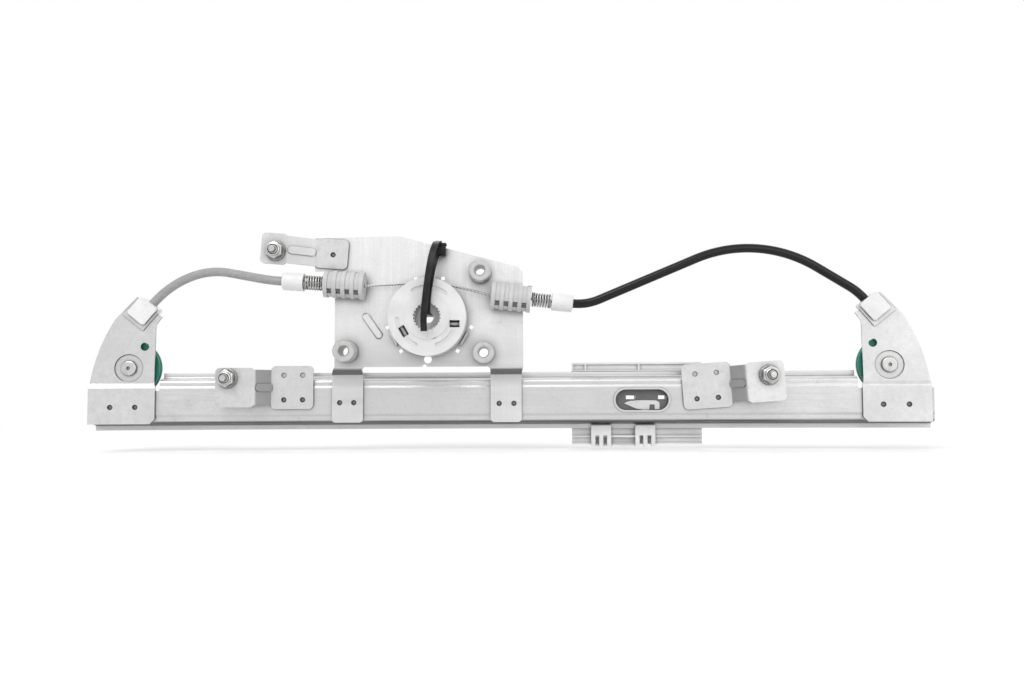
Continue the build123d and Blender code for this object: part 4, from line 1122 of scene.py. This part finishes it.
@dataclass
class SliderFacing:
    """What shows of the slider through the rail's slot: a dark pad of painted shade with two windows, and a
    pale lens.

    Its sizes are in millimetres. The face that it follows is a shallow curve, sloped at its station.
    """

    shop: Shop
    station: float = 139.0
    face_depth: float = 9.03
    face_slope: float = 0.0553
    face_radius: float = 1700.0
    pad_middle: tuple[float, float] = (139.2, -53.4)
    pad_half_run: float = 12.0
    pad_radius: float = 7.2
    pad_height: float = 0.45
    lens_height: float = 1.0
    sunk: float = 0.02
    end_steps: int = 16

    def build(self) -> None:
        """Builds the pad and the lens."""
        pad = bmesh.new()
        rim = self.stadium(*self.pad_middle, self.pad_half_run, self.pad_radius)
        windows = [self.window(*window) for window in PAD_WINDOWS]
        self.plate(pad, [rim, *windows], -self.sunk, self.pad_height)
        self.shop.piece("slider_slot_shade_pad", pad, SHADE_PAD, Body.CARRIAGE, "black_plastic")
        lens = bmesh.new()
        self.plate(lens, [list(LENS_OUTLINE)], self.pad_height, self.lens_height)
        self.shop.piece("slider_slot_lens", lens, NATURAL, Body.CARRIAGE, "natural_plastic")

    def stadium(self, x: float, z: float, half_run: float, radius: float) -> Outline:
        """Outline with round ends.

        Args:
            x: Middle along the rail.
            z: Middle height.
            half_run: Half the straight run.
            radius: Radius of the ends.

        Returns:
            Points in millimetres.
        """
        points = []
        for end, start in ((1, -90), (-1, 90)):
            middle = x + end * half_run
            for step in range(self.end_steps + 1):
                angle = math.radians(start + 180 * step / self.end_steps)
                points.append((middle + radius * math.cos(angle), z + radius * math.sin(angle)))
        return points

    def window(self, left: float, right: float, low: float, high: float) -> Outline:
        """Corners of a window."""
        return [(left, low), (right, low), (right, high), (left, high)]

    def plate(self, mesh: bmesh.types.BMesh, loops: list[Outline], low: float, high: float) -> None:
        """Adds a plate that follows the slider's bowed face.

        Args:
            mesh: The mesh that it joins.
            loops: Its outline and its holes, as points along the rail and in height.
            low: Distance of its back in front of the face, in millimetres.
            high: Distance of its front.
        """
        sides = []
        for height in (low, high):
            rings = []
            edges = []
            for loop in loops:
                ring = [mesh.verts.new(self.on_face(x, z, height)) for x, z in loop]
                rings.append(ring)
                pairs = zip(ring, [*ring[1:], ring[0]])
                edges += [mesh.edges.new(pair) for pair in pairs]
            bmesh.ops.triangle_fill(mesh, edges=edges, use_beauty=True)
            sides.append(rings)
        for back, front in zip(*sides):
            count = len(back)
            for index in range(count):
                after = (index + 1) % count
                mesh.faces.new((back[index], back[after], front[after], front[index]))

    def on_face(self, x: float, z: float, height: float) -> Vector:
        """Point in front of the slider's face, in metres."""
        away = x - self.station
        depth = self.face_depth - self.face_slope * away - away**2 / (2 * self.face_radius)
        return Vector((x, depth - height, z)) * MM


@dataclass
class Studio:
    """Pale floor, soft light and the camera at the photograph's place."""

    position: Point = (0.05598, -0.59050, -0.05123)
    turn: float = 0.0033
    tilt: float = 0.0611
    roll: float = -0.0043
    focal_pixels: float = 906.67
    image_width: float = 1024.0
    sensor: float = 36.0
    floor_gap: float = 2.0 * MM
    floor_size: float = 6.0
    floor_tone: float = 0.86
    floor_glow: float = 0.20
    fade: tuple[float, float] = (0.30, 0.75)
    world_light: float = 0.60

    def build(self) -> None:
        """Builds them all."""
        self.camera()
        self.world()
        self.floor()
        self.lamp("key_panel", Vector((-0.35, -0.9, 1.1)), 0.9, 10.0)
        self.lamp("fill_panel", Vector((0.85, -1.0, 0.35)), 0.9, 3.2)
        self.lamp("back_panel", Vector((0.2, 0.9, 0.9)), 1.2, 3.5)

    def camera(self) -> None:
        """Places the camera."""
        data = bpy.data.cameras.new("photo_camera")
        data.sensor_width = self.sensor
        data.lens = self.focal_pixels / self.image_width * self.sensor
        data.clip_start = 0.01
        data.clip_end = 20.0
        ahead = Vector(
            (
                -math.sin(self.turn) * math.cos(self.tilt),
                math.cos(self.turn) * math.cos(self.tilt),
                math.sin(self.tilt),
            )
        )
        right = Vector((math.cos(self.turn), math.sin(self.turn), 0))
        up = right.cross(ahead)
        rolled_right = right * math.cos(self.roll) + up * math.sin(self.roll)
        rolled_up = up * math.cos(self.roll) - right * math.sin(self.roll)
        columns = Matrix((rolled_right, rolled_up, -ahead)).transposed().to_4x4()
        camera = bpy.data.objects.new("photo_camera", data)
        camera.matrix_world = Matrix.Translation(Vector(self.position)) @ columns
        bpy.context.scene.collection.objects.link(camera)
        bpy.context.scene.camera = camera

    def world(self) -> None:
        """White world to the camera, reflections and transmission, softer as a light."""
        world = bpy.data.worlds.new("studio_world")
        bpy.context.scene.world = world
        world.use_nodes = True
        tree = world.node_tree
        background = tree.nodes["Background"]
        path = tree.nodes.new("ShaderNodeLightPath")
        either = tree.nodes.new("ShaderNodeMath")
        either.operation = "MAXIMUM"
        tree.links.new(path.outputs["Is Camera Ray"], either.inputs[0])
        tree.links.new(path.outputs["Is Transmission Ray"], either.inputs[1])
        mirrored = tree.nodes.new("ShaderNodeMath")
        mirrored.operation = "MAXIMUM"
        tree.links.new(either.outputs[0], mirrored.inputs[0])
        tree.links.new(path.outputs["Is Glossy Ray"], mirrored.inputs[1])
        level = tree.nodes.new("ShaderNodeMapRange")
        level.inputs["To Min"].default_value = self.world_light
        level.inputs["To Max"].default_value = 1.0
        tree.links.new(mirrored.outputs[0], level.inputs["Value"])
        tree.links.new(level.outputs["Result"], background.inputs["Strength"])
        background.inputs["Color"].default_value = (1, 1, 1, 1)

    def floor(self) -> None:
        """Large pale floor just under the part."""
        low = cad_box[0]
        mesh = bmesh.new()
        bmesh.ops.create_grid(mesh, x_segments=2, y_segments=2, size=self.floor_size)
        data = bpy.data.meshes.new("studio_floor")
        mesh.to_mesh(data)
        mesh.free()
        floor = bpy.data.objects.new("studio_floor", data)
        floor.location = (0, 0, low.z - self.floor_gap)
        bpy.context.scene.collection.objects.link(floor)
        graph = Graph("pale_floor")
        tone: Colour = (self.floor_tone, self.floor_tone, self.floor_tone, 1)
        graph.set(Base_Color=tone, Roughness=0.9, Specular_IOR_Level=0.1)
        path = graph.add("ShaderNodeLightPath")
        seen = graph.maths("MAXIMUM", path.outputs["Is Camera Ray"], path.outputs["Is Glossy Ray"])
        seen = graph.maths("MAXIMUM", seen, path.outputs["Is Transmission Ray"])
        distance = graph.add("ShaderNodeVectorMath", {0: graph.place}, operation="LENGTH").outputs["Value"]
        far = graph.maths("MULTIPLY", graph.spread(distance, *self.fade), seen)
        glow = graph.maths("MULTIPLY", seen, self.floor_glow)
        graph.set(Emission_Color=(1, 1, 1, 1), Emission_Strength=glow)
        white = graph.add("ShaderNodeEmission", {"Color": (1, 1, 1, 1), "Strength": 1.0}).outputs["Emission"]
        mixed = graph.add("ShaderNodeMixShader", {0: far, 1: graph.shader.outputs["BSDF"], 2: white})
        graph.feed(graph.tree.nodes["Material Output"].inputs["Surface"], mixed.outputs["Shader"])
        data.materials.append(graph.material)

    def lamp(self, name: str, place: Vector, size: float, power: float) -> None:
        """Adds a soft square lamp that faces the part.

        Args:
            name: Name of the lamp.
            place: Where it hangs.
            size: Length of its side.
            power: Watts.
        """
        data = bpy.data.lights.new(name, "AREA")
        data.size = size
        data.energy = power
        lamp = bpy.data.objects.new(name, data)
        middle = (cad_box[0] + cad_box[1]) / 2
        lamp.matrix_world = axis_frame(place, place - middle)
        bpy.context.scene.collection.objects.link(lamp)


def main() -> None:
    """Builds the studio and every sub-assembly."""
    logging.basicConfig(level=logging.INFO, format="%(name)s: %(message)s")
    bpy.context.scene.view_settings.view_transform = "Standard"
    shop = Shop()
    Studio().build()
    CarriedNodes(shop).build()
    for side in Side:
        TensionSpring(shop, side).build()
    StudSet(shop).build()
    ShippingTie(shop).build()
    ClinchCups(shop).build()
    SliderFacing(shop).build()


if __name__ == "__main__":
    main()
